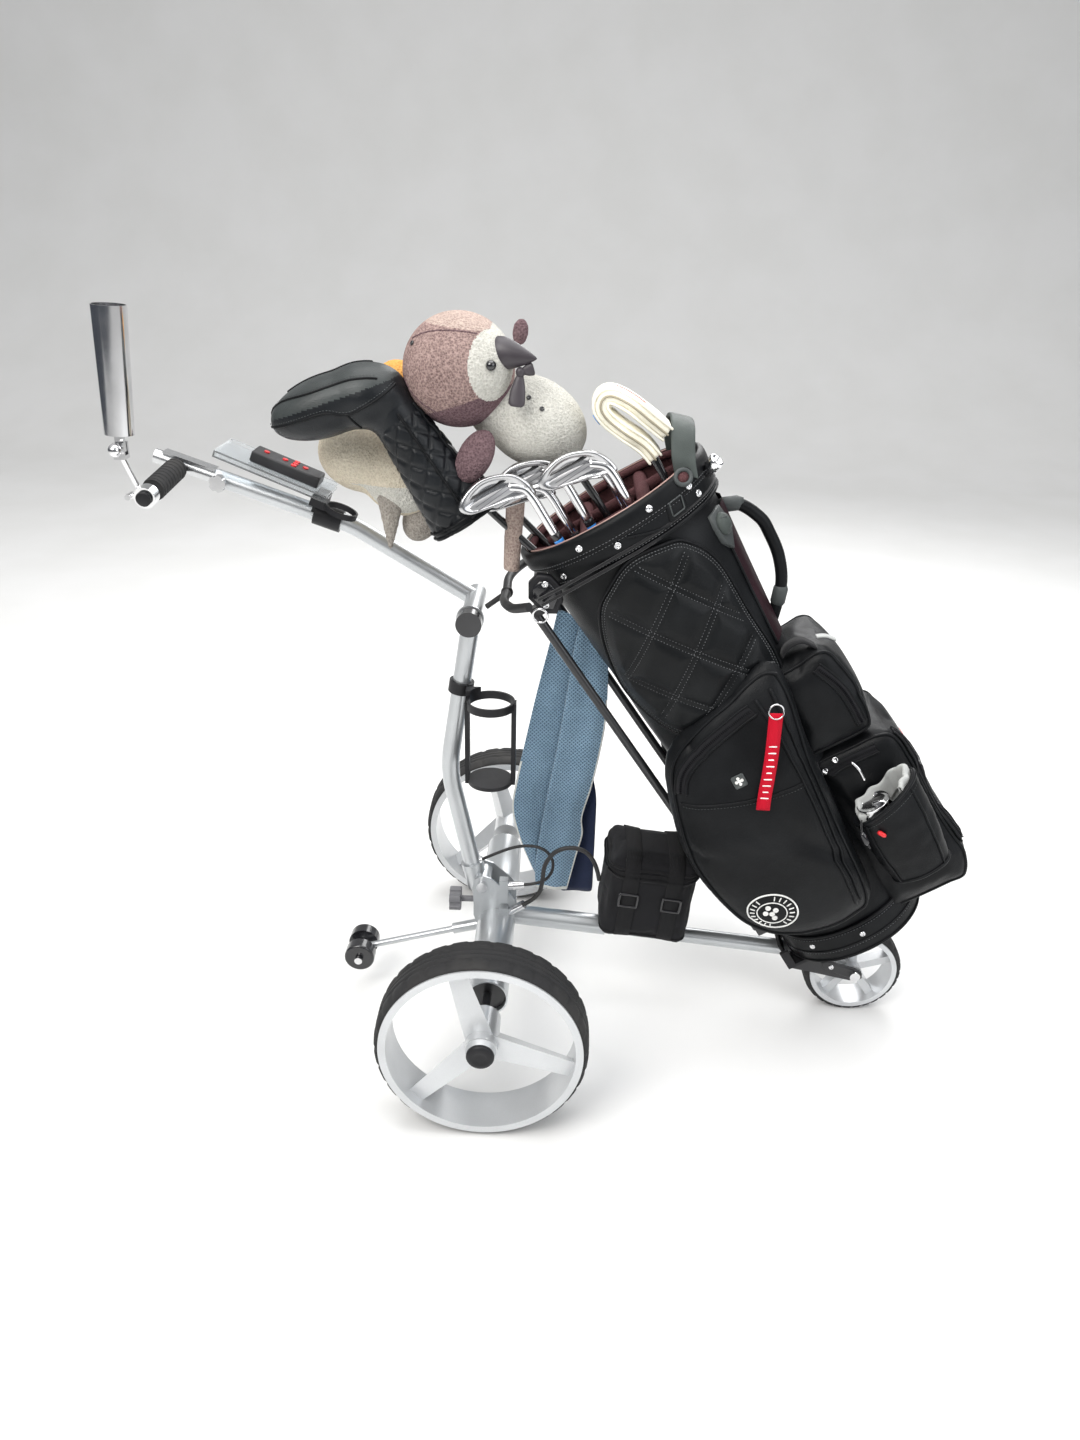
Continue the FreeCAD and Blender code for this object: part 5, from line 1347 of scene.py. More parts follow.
# The lower and upper ends of the shafts under the covers.
WOODS = [((0.088, -0.010, 0.070), (-0.178, -0.052, 1.060)), ((0.020, 0.030, 0.070), (-0.022, 0.008, 0.985)),
         ((0.060, 0.040, 0.070), (-0.150, 0.034, 0.985)), ((0.070, -0.020, 0.070), (0.084, -0.032, 0.905))]


def iron(number, u, y, top, yaw):
    """The pieces of one iron: head, insets, hosel, ferrule rings and shaft."""
    turn = math.radians(yaw)

    def place(a, depth, w):
        return in_bag(u + a * math.cos(turn) - depth * math.sin(turn),
                      y + a * math.sin(turn) + depth * math.cos(turn), top + w)

    parts = []
    line, (ca, cw) = smooth_outline(BLADE, 6)

    def sole(a, w):
        return max(0.0, min(1.0, (w - 0.050 + (a + 0.04) * 0.10) / 0.034))

    rings = []
    for share, depth, spread in ((0.02, -0.0012, 0.0), (0.55, -0.0012, 0.0), (0.70, -0.0014, 0.0),
                                 (0.78, -0.0034, 0.4), (0.90, -0.0042, 0.9), (0.985, -0.0036, 0.8),
                                 (1.0, -0.0018, 0.3), (1.0, 0.0016, 1.0), (0.985, 0.0028, 1.3),
                                 (0.90, 0.0030, 1.3), (0.86, 0.0024, 0.4), (0.55, 0.0022, 0.1),
                                 (0.02, 0.0022, 0.1)):
        rings.append([place(ca + (a - ca) * share,
                            depth + (0.0045 if depth > 0 else -0.0030) * spread * sole(a, w),
                            cw + (w - cw) * share) for a, w in line])
    parts.append(loft("blade", rings, "iron_satin"))

    def inset(grow, low, high, depth_low, depth_high, look):
        shape = [(-0.072, low + 0.003), (-0.045, low), (-0.018, low - 0.002), (-0.014, low + 0.002),
                 (-0.024, high - 0.004), (-0.048, high), (-0.074, high + 0.001),
                 (-0.080, (low + high) / 2 + 0.003)]
        shape, (ma, mw) = smooth_outline(shape, 4)
        return loft("inset", [[place(ma + (a - ma) * k, d, mw + (w - mw) * k) for a, w in shape]
                              for k, d in ((grow, depth_low), (grow, depth_high),
                                           (grow * 0.95, depth_high - 0.0003),
                                           (0.02, depth_high - 0.0003))], look)

    parts.append(inset(1.0, 0.0535, 0.0665, -0.0008, -0.0030, "iron_face"))
    parts.append(inset(0.92, 0.0700, 0.0745, -0.0008, -0.0019, "gloss_black"))
    for k in range(2):
        w = 0.0575 + 0.0052 * k
        groove = [place(-0.044 + 0.026 * t, -0.0034, w + 0.0006 * t) for t in (-1, 0, 1)]
        parts.append(rope("groove", groove, 0.00055, "grey_plastic", 4))
    if number in (2, 4):
        for k in range(4):
            parts.append(rivet(place(-0.060 + 0.010 * k, -0.0036, 0.0800 - 0.0005 * k), -AXIS_Y, 0.0027,
                               "gloss_black"))
    neck = smooth_line([place(0, 0, -0.026), place(0, 0, 0.0), place(0, 0, 0.030),
                        place(-0.004, 0.001, 0.046), place(-0.018, 0.0015, 0.058)], 6)
    parts.append(rope("hosel", neck, 0.0064, "chrome", 18))
    for low, high, radius, look in ((-0.058, -0.050, 0.0060, "chrome"),
                                    (-0.050, -0.0465, 0.0066, "ferrule_white"),
                                    (-0.0465, -0.0425, 0.0066, "ferrule_blue"),
                                    (-0.0425, -0.0395, 0.0067, "ferrule_white"),
                                    (-0.0395, -0.0345, 0.0068, "ferrule_blue"),
                                    (-0.0345, -0.026, 0.0069, "gloss_black")):
        ends = [place(0, 0, low), place(0, 0, high)]
        parts.append(rope("ferrule", ends, radius, look, 18))
    bottom = in_bag(u * 0.8, y * 0.72, 0.066)
    parts.append(rope("shaft", [bottom, place(0, 0, -0.050)], 0.0052, "chrome", 14))
    return parts


def clubs():
    """The five irons, and the shafts of the four covered clubs."""
    parts = []
    for number, (u, y, top, yaw) in enumerate(IRONS):
        parts += iron(number, u, y, top, yaw)
    for low, high in WOODS:
        parts.append(rope("shaft", [in_bag(*low), in_bag(*high)], 0.0056, "gloss_black", 14))
    finish(join("golf_club_set", parts), replaces=["golf_clubs"])


def ball_mesh(name, centre, sizes, turn=0.0, look="plush_brown"):
    """A closed round form with its half sizes along X, Y and Z, turned about Y."""
    spin = Matrix.Rotation(math.radians(turn), 3, "Y")
    rings = []
    rows, count = 18, 36
    for i in range(1, rows):
        p = math.pi * i / rows
        rings.append([centre + spin @ Vector((sizes[0] * math.cos(p), sizes[1] * math.sin(p) * math.cos(a),
                                              sizes[2] * math.sin(p) * math.sin(a)))
                      for a in angles(count)])
    return loft(name, rings, look)


def taper(name, start, end, radius_start, radius_end, look, squash=1.0):
    """A round form from one size to another, flattened along Y by squash."""
    steps = 12
    way = (end - start).normalized()
    across = way.cross(AXIS_Y).normalized()
    rings = []
    for k in range(steps + 1):
        t = k / steps
        r = radius_start + (radius_end - radius_start) * t
        rings.append([start.lerp(end, t) + across * r * math.cos(a) + AXIS_Y * r * squash * math.sin(a)
                      for a in angles(36)])
    return loft(name, rings, look)


def soft(name, shapes, looks, look_at, voxel, smooth, pressure, frames, cap):
    """Melts shapes into one stuffed form, and colours its faces by where they lie."""
    obj = join(name, shapes)
    obj = modify(obj, "REMESH", mode="VOXEL", voxel_size=voxel)
    obj = modify(obj, "SMOOTH", factor=0.6, iterations=smooth)
    obj = puff(obj, voxel, pressure, frames, cap)
    obj.data.materials.clear()
    for look in looks:
        obj.data.materials.append(MATERIALS[look])
    for face in obj.data.polygons:
        face.material_index = look_at(face.center)
    obj.name = name
    return obj


def driver_cover():
    """A stuffed leather hood over the driver's head, and its quilted sock."""
    hood = soft("driver_hood",
                [ball_mesh("a", at(-0.219, -0.062, 0.988), (0.082, 0.048, 0.039), -21),
                 ball_mesh("b", at(-0.172, -0.062, 1.002), (0.058, 0.049, 0.042), -10),
                 taper("c", at(-0.152, -0.062, 1.006), at(-0.118, -0.060, 0.950), 0.037, 0.030, "leather")],
                 ["cover_leather", "hood_top"], lambda p: 1
                 if p.z > 0.966 + 0.36 * (p.x - AXLE_X + 0.300) else 0, 0.005, 6, 4.0, 16, 0.004)
    snap = snapper(hood)
    finish(hood, replaces=["driver_cover"])
    trims = []
    for points in (((-0.300, -0.066, 0.958), (-0.262, -0.108, 0.968), (-0.215, -0.114, 0.984),
                    (-0.188, -0.112, 0.980), (-0.165, -0.112, 0.992), (-0.140, -0.106, 1.008),
                    (-0.122, -0.090, 1.024)),
                    ((-0.290, -0.060, 0.972), (-0.240, -0.098, 1.006), (-0.200, -0.100, 1.022),
                     (-0.150, -0.094, 1.026)),
                     ((-0.188, -0.112, 0.980), (-0.180, -0.108, 0.965), (-0.172, -0.095, 0.950)),
                     ((-0.275, -0.062, 1.010), (-0.22, -0.058, 1.040), (-0.16, -0.058, 1.052))):
        line = [at(*p) for p in points]
        trims.append(seam_on("seam", snap, line, "leather", 0.0017, 0.0002))
        places, normals = line_on(snap, line, 0.0010)
        shifted = [p + n.cross(step_at(places, k).normalized()) * 0.004
                   for k, (p, n) in enumerate(zip(places, normals))]
        trims.append(stitches("thread", shifted, normals, 0.0042, 0.003, 0.0009, "leather_grey"))
    finish(join("driver_seams", trims))
    start, end = at(-0.136, -0.062, 0.985), at(-0.042, -0.052, 0.840)
    way = (end - start).normalized()
    across = AXIS_Y.cross(way).normalized()
    size = (end - start).length
    rings, count, rows = [], (120), (84)
    for k in range(rows + 1):
        t = k / rows
        wide, deep = 0.028 + 0.017 * t, 0.029 + 0.010 * t
        ring = []
        for j in range(count):
            a = 2 * math.pi * j / count
            groove = 1.0
            for sign in (-1, 1):
                line = (a * 0.040 + sign * t * size) / 0.034
                groove = min(groove, abs(line - round(line)) * 2)
            rise = 0.0012 + 0.0038 * min(1, groove / 0.42) ** 0.6 if t > 0.10 else 0.0030
            ring.append(start.lerp(end, t) + across * (wide + rise) * math.cos(a)
                        + AXIS_Y * (deep + rise) * math.sin(a))
        rings.append(ring)
    hem = rings[-1]
    sock = loft("driver_sock", rings, "cover_leather", cap=False)
    inner = loft("driver_sock_lining",
                 [[end + (start - end) * t + (p - end) * grow for p in hem]
                  for t, grow in ((0.20, 0.70), (0.10, 0.86), (0.01, 0.95))], "knit_black")
    parts = [sock, inner] + [rope("hem", [p + way * d for p in hem], 0.0028, "leather", 8, closed=True)
                             for d in (-0.008, 0.0)]
    for share in (0.56, 0.70):
        j = int(count * share)
        line = [rings[k][j] + (rings[k][j] - start.lerp(end, k / rows)).normalized() * 0.0008
                for k in range(4, rows + 1, 2)]
        parts.append(rope("edge", line, 0.0022, "leather", 8))
    finish(join("driver_sock_set", parts))


def penguin_cover():
    """A plush bird lying on its back over a club: head, face, beak, bow, body and wings."""
    head = at(-0.0510, -0.036, 1.0335)

    def head_look(p):
        d = p - head
        face, brow = p - at(-0.0050, -0.090, 1.0460), p - at(0.0100, -0.045, 1.0760)
        if (face.x / 0.029) ** 2 + (face.y / 0.070) ** 2 + (face.z / 0.045) ** 2 < 1:
            return 1
        if (brow.x / 0.021) ** 2 + (brow.y / 0.055) ** 2 + (brow.z / 0.030) ** 2 < 1:
            return 1
        if d.z > 0.055 - d.x * 0.10:
            return 2
        return 3 if d.z < -0.038 + d.x * 0.35 else 0

    plump = soft("penguin_head",
                 [ball_mesh("a", head, (0.074, 0.066, 0.0735), 0),
                  ball_mesh("b", at(-0.018, -0.052, 1.040), (0.040, 0.042, 0.050), 0)],
                  ["plush_brown", "plush_white", "plush_tan", "plush_dark"], head_look, 0.004, 6, 3.0, 12,
                  0.003)
    snap = snapper(plump)
    finish(plump, replaces=["penguin_cover"])
    belly = soft("penguin_body", [ball_mesh("a", at(0.047, -0.012, 0.966), (0.076, 0.060, 0.058), 28),
                                  ball_mesh("b", at(0.006, -0.018, 0.986), (0.050, 0.048, 0.048), 10)],
                 ["plush_white"], lambda p: 0, 0.0045, 6, 3.0, 12, 0.003)
    snap_belly = snapper(belly)
    finish(belly)
    for name, centre, sizes, turn in (("penguin_wing", (-0.027, -0.076, 0.930), (0.023, 0.016, 0.039), 28),
                                      ("penguin_far_wing", (0.027, -0.012, 1.0795), (0.011, 0.010, 0.018),
                                       8)):
        wing = soft(name, [ball_mesh("a", at(*centre), sizes, turn)], ["plush_dark"], lambda p: 0, 0.003, 3,
                    2.0, 8, 0.002)
        finish(wing)
    parts = []
    root, tip = at(0.009, -0.068, 1.0590), at(0.050, -0.083, 1.0595)
    way = (tip - root).normalized()
    across = way.cross(Vector((0, 0, 1))).normalized()
    other = way.cross(across)
    rings = []
    for t, r in ((-0.4, 0.019), (0, 0.0205), (0.25, 0.0180), (0.5, 0.0135), (0.75, 0.0085), (0.93, 0.0042),
                 (1.02, 0.0015), (1.04, 0.0004)):
        rings.append([root.lerp(tip, t) + across * r * 0.85 * math.cos(a) + other * r * math.sin(a)
                      - Vector((0, 0, 0.004)) * t for a in angles(32)])
    parts.append(loft("beak", rings, "satin_grey"))
    eye, normal = snap(at(-0.0005, -0.104, 1.0484), 0.0006)
    dome = [(0.0070 * r, 0.0070 * h) for r, h in
            ((1.0, -0.2), (0.96, 0.25), (0.75, 0.62), (0.4, 0.86), (0.05, 0.93))]
    parts.append(turned("eye", eye, normal, normal.orthogonal().normalized(), dome, "eye_black", 24))
    for target, near in (((0.042, -0.070, 1.013), snap_belly), ((0.061, -0.074, 0.996), snap_belly),
                         ((-0.1134, -0.070, 1.072), snap)):
        place, normal = near(at(*target), 0.0003)
        parts.append(rivet(place, normal, 0.0032, "eye_black"))
    knot = at(0.031, -0.078, 1.038)
    for end, wide in ((at(0.048, -0.080, 1.043), 0.008), (at(0.0265, -0.088, 0.997), 0.0105)):
        rings = []
        flow = (end - knot).normalized()
        flat = flow.cross(AXIS_Y).normalized()
        for t in (0, 0.25, 0.55, 0.8, 0.93, 1.0):
            half = (0.30 + 0.70 * math.sin(min(1.0, t * 1.25) * math.pi / 2)) * wide
            half *= 1 if t < 0.95 else 0.7
            rings.append([knot.lerp(end, t) + flat * half * math.cos(a) + AXIS_Y * 0.0035 * math.sin(a)
                          for a in angles(22)])
        parts.append(loft("bow", rings, "satin_grey"))
    parts.append(ball_mesh("knot", knot - AXIS_Y * 0.002, (0.006, 0.005, 0.0065), 0, "satin_grey"))
    for points in (((-0.112, -0.060, 1.076), (-0.088, -0.080, 1.090), (-0.055, -0.088, 1.092),
                    (-0.022, -0.082, 1.086)),
                    ((-0.122, -0.055, 1.030), (-0.110, -0.080, 0.998), (-0.080, -0.092, 0.976),
                     (-0.050, -0.090, 0.966))):
        parts.append(seam_on("seam", snap, [at(*p) for p in points], "plush_dark", 0.0010, 0.0))
    finish(join("penguin_trim", parts))


def beige_cover():
    """A sand-coloured plush animal hanging over two clubs, with a fin, a tail and a tan sock."""
    shapes = [ball_mesh("a", at(-0.196, 0.022, 0.906), (0.062, 0.046, 0.050), 18),
              ball_mesh("b", at(-0.140, 0.014, 0.880), (0.062, 0.046, 0.052), 35),
              taper("c", at(-0.130, 0.020, 0.878), at(-0.040, 0.026, 0.846), 0.040, 0.030, "plush_beige")]
    body = soft("beige_body", shapes, ["plush_beige", "plush_white"],
                lambda p: 1 if p.y < -0.012 and p.z < 0.875 else 0, 0.005, 6, 3.0, 12, 0.004)
    finish(body, replaces=["beige_cover"])
    fin_root = at(-0.150, -0.012, 0.872)
    fin = [taper("a", fin_root, at(-0.152, -0.022, 0.784), 0.024, 0.004, "plush_tan", 0.55),
           ball_mesh("b", fin_root, (0.026, 0.016, 0.022))]
    tail = [ball_mesh("a", at(-0.112, 0.010, 0.822), (0.026, 0.022, 0.034), 24)]
    tuft = [ball_mesh("a", at(-0.140, 0.020, 1.010), (0.030, 0.020, 0.028), 10)]
    sock = [taper("a", at(0.026, -0.045, 0.885), at(0.020, -0.040, 0.765), 0.014, 0.012, "plush_tan", 0.8)]
    for name, shapes, look in (("beige_fin", fin, "plush_grey"), ("beige_tail", tail, "plush_grey"),
                               ("orange_tuft", tuft, "plush_orange"), ("tan_sock", sock, "plush_tan")):
        piece = soft(name, shapes, [look], lambda p: 0, 0.003, 4, 2.0, 8, 0.002)
        finish(piece)


def putter_cover():
    """A thick white leather blade cover folded over like a hairpin, with piping and stripes."""
    middle = smooth_line([(0.0850, 0, 0.872), (0.0800, 0, 0.895), (0.0660, 0, 0.924), (0.0560, 0, 0.950),
                          (0.0560, 0, 0.967), (0.0660, 0, 0.975), (0.0780, 0, 0.970), (0.0920, 0, 0.948),
                          (0.1040, 0, 0.917), (0.1140, 0, 0.892)], 5)
    middle = [Vector((p.x, p.z)) for p in middle]

    def outward(k):
        way = step_at(middle, k).normalized()
        return Vector((-way.y, way.x))

    def section(k, half, deep):
        out = outward(k)
        ring = []
        for a in angles(28):
            p = middle[k] + out * (bent(math.cos(a), 0.6) * half)
            ring.append(in_bag(p.x, -0.030 + bent(math.sin(a), 0.45) * deep, p.y))
        return ring

    body = loft("putter_hood", [section(k, 0.0112, 0.029) for k in range(len(middle))], "white_leather")
    body = puff(body, 0.0032, 4.0, 12, 0.002)
    finish(body, replaces=["putter_cover"])
    parts = []
    for reach in (0.0092, -0.0092):
        line = [middle[k] + outward(k) * reach for k in range(len(middle))]
        parts.append(rope("piping", [in_bag(p.x, -0.0585, p.y) for p in line], 0.0018, "white_leather", 8))
    # The fold rope is painted shadow: a thin dark cream line along the crease between the cover's two arms.
    fold = [in_bag(middle[k].x, -0.0605, middle[k].y) for k in range(len(middle))]
    parts.append(rope("fold", fold, 0.0015, "cream_shadow", 8))
    for low, high, width, look in ((15, 19, 0.007, "ferrule_blue"), (30, 38, 0.0018, "red_key")):
        line, normals = [], []
        for k in range(low, high):
            out = outward(k)
            p = middle[k] + out * 0.0122
            q = in_bag(p.x, -0.046, p.y)
            line.append(q)
            normals.append(in_bag(p.x + out.x, -0.046, p.y + out.y) - q)
        parts.append(ribbon("stripe", line, normals, width, 0.0008, look))
    finish(join("putter_seams", parts))


# ------------------------------------------------------------ towel, tag, battery

# X and Z of the towel's left edge, the pleat's edge and the right edge, from its top to its hem.
TOWEL_LEFT = [(0.086, 0.672), (0.077, 0.627), (0.057, 0.535), (0.039, 0.441), (0.026, 0.375),
              (0.020, 0.322), (0.033, 0.266), (0.055, 0.210), (0.070, 0.180)]
TOWEL_FOLD = [(0.122, 0.660), (0.113, 0.611), (0.105, 0.540), (0.094, 0.456), (0.084, 0.390),
              (0.076, 0.337), (0.068, 0.280), (0.061, 0.215), (0.063, 0.172)]
TOWEL_RIGHT = [(0.158, 0.648), (0.166, 0.597), (0.168, 0.500), (0.161, 0.433), (0.150, 0.370),
               (0.137, 0.315), (0.139, 0.281), (0.130, 0.240), (0.116, 0.170)]


def grid_faces(rows, columns, first):
    """The faces of a grid of points that starts at a given index."""
    return [(first + k * columns + j, first + k * columns + j + 1, first + (k + 1) * columns + j + 1,
             first + (k + 1) * columns + j) for k in range(rows - 1) for j in range(columns - 1)]


def towel():
    """A waffle towel hung in two panels, the front one pleated over the other, and a dark navy sheet behind
    them: painted shade, standing for the towel's far fold in shadow.
    """
    left, pleat, right_edge = (smooth_line([Vector((x, 0, z)) for x, z in edge], 7)
                               for edge in (TOWEL_LEFT, TOWEL_FOLD, TOWEL_RIGHT))
    rows = len(left)
    verts = []
    for k in range(rows):
        t = k / (rows - 1)
        back = pleat[k].lerp(right_edge[k], 0.20)
        line = [(left[k].lerp(back, j / 24), 0.0640) for j in range(24)]
        line += [(back, 0.0634), (back, 0.0622), (back.lerp(pleat[k], 0.5), 0.0612), (pleat[k], 0.0600),
                 (pleat[k], 0.0588)]
        line += [(pleat[k].lerp(right_edge[k], j / 26), 0.0580) for j in range(1, 27)]
        for j, (p, y) in enumerate(line):
            s = j / (len(line) - 1)
            wave = 0.0016 * math.sin(s * 19 + 2.0 * t) + 0.0022 * math.sin(s * 7 - 1.5 * t)
            verts.append(at(p.x, y + wave, p.z + 0.003 * ripple((s, t, 0), 4)))
    columns = len(verts) // rows
    faces = grid_faces(rows, columns, 0)
    # The white hem runs down both edges and along the bottom.
    looks = [int(k > rows * 0.42 and j < 1 or j >= columns - 2 and k > rows * 0.2 or k >= rows - 2)
             for k in range(rows - 1) for j in range(columns - 1)]
    # The sheet behind the panels is painted shade: a dark navy cloth where the towel's far fold lies in
    # shadow.
    first = len(verts)
    for k in range(15):
        z = 0.410 - 0.252 * k / 14
        for j in range(9):
            end = min(0.160, 0.146 + 0.055 * k / 14)
            verts.append(at(0.104 + (end - 0.104) * j / 8, 0.0735 + 0.0015 * math.sin(j + k * 0.3), z))
    far_faces = grid_faces(15, 9, first)
    faces += far_faces
    looks += [2] * len(far_faces)
    cloth = mesh_object("towel_cloth", verts, faces, "towel")
    cloth.data.materials.append(MATERIALS["towel_hem"])
    cloth.data.materials.append(MATERIALS["towel_painted_shade"])
    cloth.data.polygons.foreach_set("material_index", looks)
    cloth = modify(cloth, "SUBSURF", levels=1, render_levels=1)
    modify(cloth, "SOLIDIFY", thickness=0.0016, offset=0)
    finish(cloth, replaces=["towel"])


def ribbon_tag():
    """The red pull of the side pocket's zip, which swings from its ring."""
    top = in_bag(0.066, -0.1708, 0.516)
    line, normals = [], []
    for k in range(31):
        t = k / 30
        line.append(top + Vector((0.0022 * math.sin(t * 5.5) * t, 0.0016 * math.sin(t * 7) * t,
                                  -0.150 * t)))
        normals.append(Vector((0.10 * math.sin(t * 4), -1, 0)))
    tag = ribbon("tag_ribbon", line, normals, 0.019, 0.0013, "ribbon")
    finish(tag, "ribbon_tag", ["zipper_tag"])
    marks = []
    for k, half in enumerate((0.0050, 0.0050, 0.0032, 0.0050, 0.0032, 0.0050, 0.0050, 0.0032, 0.0050)):
        p = line[10 + 2 * k]
        marks.append(rope("mark", [p + Vector((x, -0.0010, 0)) for x in (-half, 0, half)], 0.0011,
                          "white_print", 6))
    finish(join("tag_marks", marks), "ribbon_tag")
    ring = [top + Vector((0.010 * math.cos(a), 0.0018 * math.sin(a), 0.002 + 0.010 * math.sin(a)))
            for a in angles(32)]
    finish(rope("tag_ring", ring, 0.0011, "chrome", 8, closed=True), "ribbon_tag")


CHASSIS_SLOPE = math.radians(5.89)
CHASSIS_WAY = Vector((math.cos(CHASSIS_SLOPE), 0, -math.sin(CHASSIS_SLOPE)))
CHASSIS_UP = Vector((math.sin(CHASSIS_SLOPE), 0, math.cos(CHASSIS_SLOPE)))
BATTERY_FOOT = at(0.236, 0, 0.157 - 0.206 * math.tan(CHASSIS_SLOPE))


def on_battery(x, y, z):
    """A point from the middle of the battery bag's foot, along and square to the frame tube."""
    return BATTERY_FOOT + CHASSIS_WAY * x + AXIS_Y * y + CHASSIS_UP * (z + 0.0175)


def rounded_box(half_x, half_y, height, radius, place, look, name):
    """A box with its edges rounded, whose points go through place()."""
    rings = []

    def outline(inset):
        ring = []
        for cx, cy, start in ((1, 1, 0), (-1, 1, 0.5), (-1, -1, 1.0), (1, -1, 1.5)):
            for k in range(EDGE_ROWS + 1):
                a = math.pi * (start + 0.5 * k / EDGE_ROWS)
                ring.append(((half_x - radius) * cx + (radius - inset) * math.cos(a),
                             (half_y - radius) * cy + (radius - inset) * math.sin(a)))
        return ring

    low = [(radius * (1 - math.sin(a)), radius * (1 - math.cos(a)))
           for a in (math.pi / 2 * k / EDGE_ROWS for k in range(EDGE_ROWS, -1, -1))]
    for z, inset in low:
        rings.append([place(x, y, z) for x, y in outline(inset)])
    for k in range(1, 6):
        rings.append([place(x, y, radius + (height - 2 * radius) * k / 6) for x, y in outline(0)])
    for z, inset in reversed(low):
        rings.append([place(x, y, height - z) for x, y in outline(inset)])
    return loft(name, rings, look)


BATTERY_RING = [(0.066, 0.058), (0, 0.063), (-0.066, 0.058), (-0.071, 0), (-0.066, -0.058), (0, -0.063),
                (0.066, -0.058), (0.071, 0)]
BELT_PLACES = -0.034, 0.034


def battery_bag():
    """The padded nylon bag of the battery, with its zip, belts and buckles."""
    box = rounded_box(0.069, 0.061, 0.150, 0.012, on_battery, "nylon", "battery_pad")
    box = puff(box, 0.005, 5.0, 16, 0.004)
    snap = snapper(box)
    finish(box, replaces=["battery_bag"])
    trims = []
    for z in (0.012, 0.136):
        ring = [on_battery(x, y, z) for x, y in BATTERY_RING]
        trims.append(seam_on("piping", snap, ring, "webbing", 0.0020, 0.0006, True))
    places, normals = line_on(snap, [on_battery(x, y, 0.124) for x, y in BATTERY_RING], 0.0004, 8, True)
    places.append(places[0])
    normals.append(normals[0])
    trims.append(ribbon("zip_tape", places, normals, 0.013, 0.0010, "webbing"))
    lifted = [p + n * 0.0014 for p, n in zip(places, normals)]
    trims.append(stitches("zip_teeth", lifted, normals, 0.0026, 0.0015, 0.0045, "gloss_black"))
    for x in BELT_PLACES:
        band = [on_battery(x, y, z)
                for y, z in ((-0.064, 0.006), (-0.066, 0.060), (-0.063, 0.144), (-0.03, 0.153),
                             (0.03, 0.153), (0.063, 0.144), (0.066, 0.060), (0.064, 0.006))]
        places, normals = line_on(snap, band, 0.0008, 8)
        trims.append(ribbon("belt", places, normals, 0.024, 0.0016, "webbing"))
    buckle = []
    for x in BELT_PLACES:
        place, normal = snap(on_battery(x, -0.066, 0.082), 0.003)
        side = CHASSIS_WAY
        up = normal.cross(side).normalized()
        ring = [place + side * 0.014 * a + up * 0.011 * b for a, b in
                ((1, 0.8), (0.8, 1), (-0.8, 1), (-1, 0.8), (-1, -0.8), (-0.8, -1), (0.8, -1), (1, -0.8))]
        buckle.append(rope("buckle", smooth_line(ring, 4, True), 0.0022, "gloss_black", 8, closed=True))
    finish(join("battery_bag_trim", trims + buckle))


# ------------------------------------------------------------ wheels

def middle_of(node):
    """The middle of a CAD piece's box."""
    low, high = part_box(node)
    return (Vector(low) + Vector(high)) / 2


# From the shoulder to the middle rib: the drop below the tread, and the share of the half width.
TREAD = [(0.0115, 1.0), (0.006, 1.0), (0.0032, 0.93), (0.0012, 0.80), (0.0004, 0.62), (0.0, 0.42),
         (0.0004, 0.40), (0.0022, 0.36), (0.0022, 0.28), (0.0, 0.24), (0.0, 0.06), (0.002, 0.03)]


def tyre_piece(node, body):
    """A tyre with two grooves, a rib in its middle and notched shoulders."""
    low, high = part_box(node)
    centre, radius, half = middle_of(node), (high[0] - low[0]) / 2, (high[1] - low[1]) / 2
    profile = [(radius - drop, -y) for drop, y in TREAD] + [(radius - drop, y)
                                                            for drop, y in reversed(TREAD)]
    rings = []
    for k, a in enumerate(angles(240)):
        notch = (k // 2) % 4 == 0
        ring = []
        for r, y in profile:
            if notch and abs(y) > 0.38 and radius - r < 0.005:
                r -= 0.0018
            ring.append(centre + Vector((r * math.cos(a), y * half, r * math.sin(a))))
        rings.append(ring)
    rings.append(rings[0])
    made = loft("tread_" + node, rings, "tyre", cap=False)
    finish(made, body, [node])


def hub_cap(name, body, centre, side):
    """A round cap with a dished middle."""
    radius, depth = 0.020, 0.006
    rings = []
    for r, h in ((1.0, -0.3), (1.0, 0.2), (0.94, 0.55), (0.80, 0.80), (0.55, 0.95), (0.50, 0.86),
                 (0.2, 0.90), (0.02, 0.90)):
        rings.append([centre + Vector((radius * r * math.cos(a), side * depth * h,
                                       radius * r * math.sin(a))) for a in angles(40)])
    finish(loft(name, rings, "black_plastic"), body)


def wheels():
    """The three tyres, and the hub caps of the drive wheels."""
    for wheel in ("near", "far", "front"):
        tyre_piece(wheel + "_tyre", wheel + "_wheel")
    for wheel, side in (("near", -1), ("far", 1)):
        node = wheel + "_rim"
        centre = middle_of(node)
        centre.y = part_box(node)[max(0, side)][1] - side * 0.0035
        hub_cap("cap_" + node, wheel + "_wheel", centre, side)


# ------------------------------------------------------------ handle end

def fork_plate():
    """The bolted plate beside the front wheel."""
    low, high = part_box("front_fork")
    hub = middle_of("front_rim")
    parts = []
    for side in (-1, 1):
        y = (low[1] if side < 0 else high[1]) - side * 0.0005
        way = Vector((-0.93, 0, 0.37)).normalized()
        up = Vector((0.37, 0, 0.93)).normalized()
        centre = Vector((hub.x, y, hub.z)) + way * 0.022
        outline = [(-0.032, -0.008), (-0.036, 0), (-0.032, 0.008), (0.032, 0.009), (0.040, 0),
                   (0.032, -0.009)]
        rings = [[centre + way * a * k + up * b * k + AXIS_Y * side * h for a, b in outline]
                 for k, h in ((1, -0.003), (1, 0.0012), (0.92, 0.0020), (0.5, 0.0020))]
        parts.append(loft("plate", rings, "black_paint"))
        for a in (-0.018, 0.022):
            parts.append(rivet(centre + way * a + AXIS_Y * side * 0.0016, AXIS_Y * side, 0.0046))
    finish(join("fork_plates", parts))


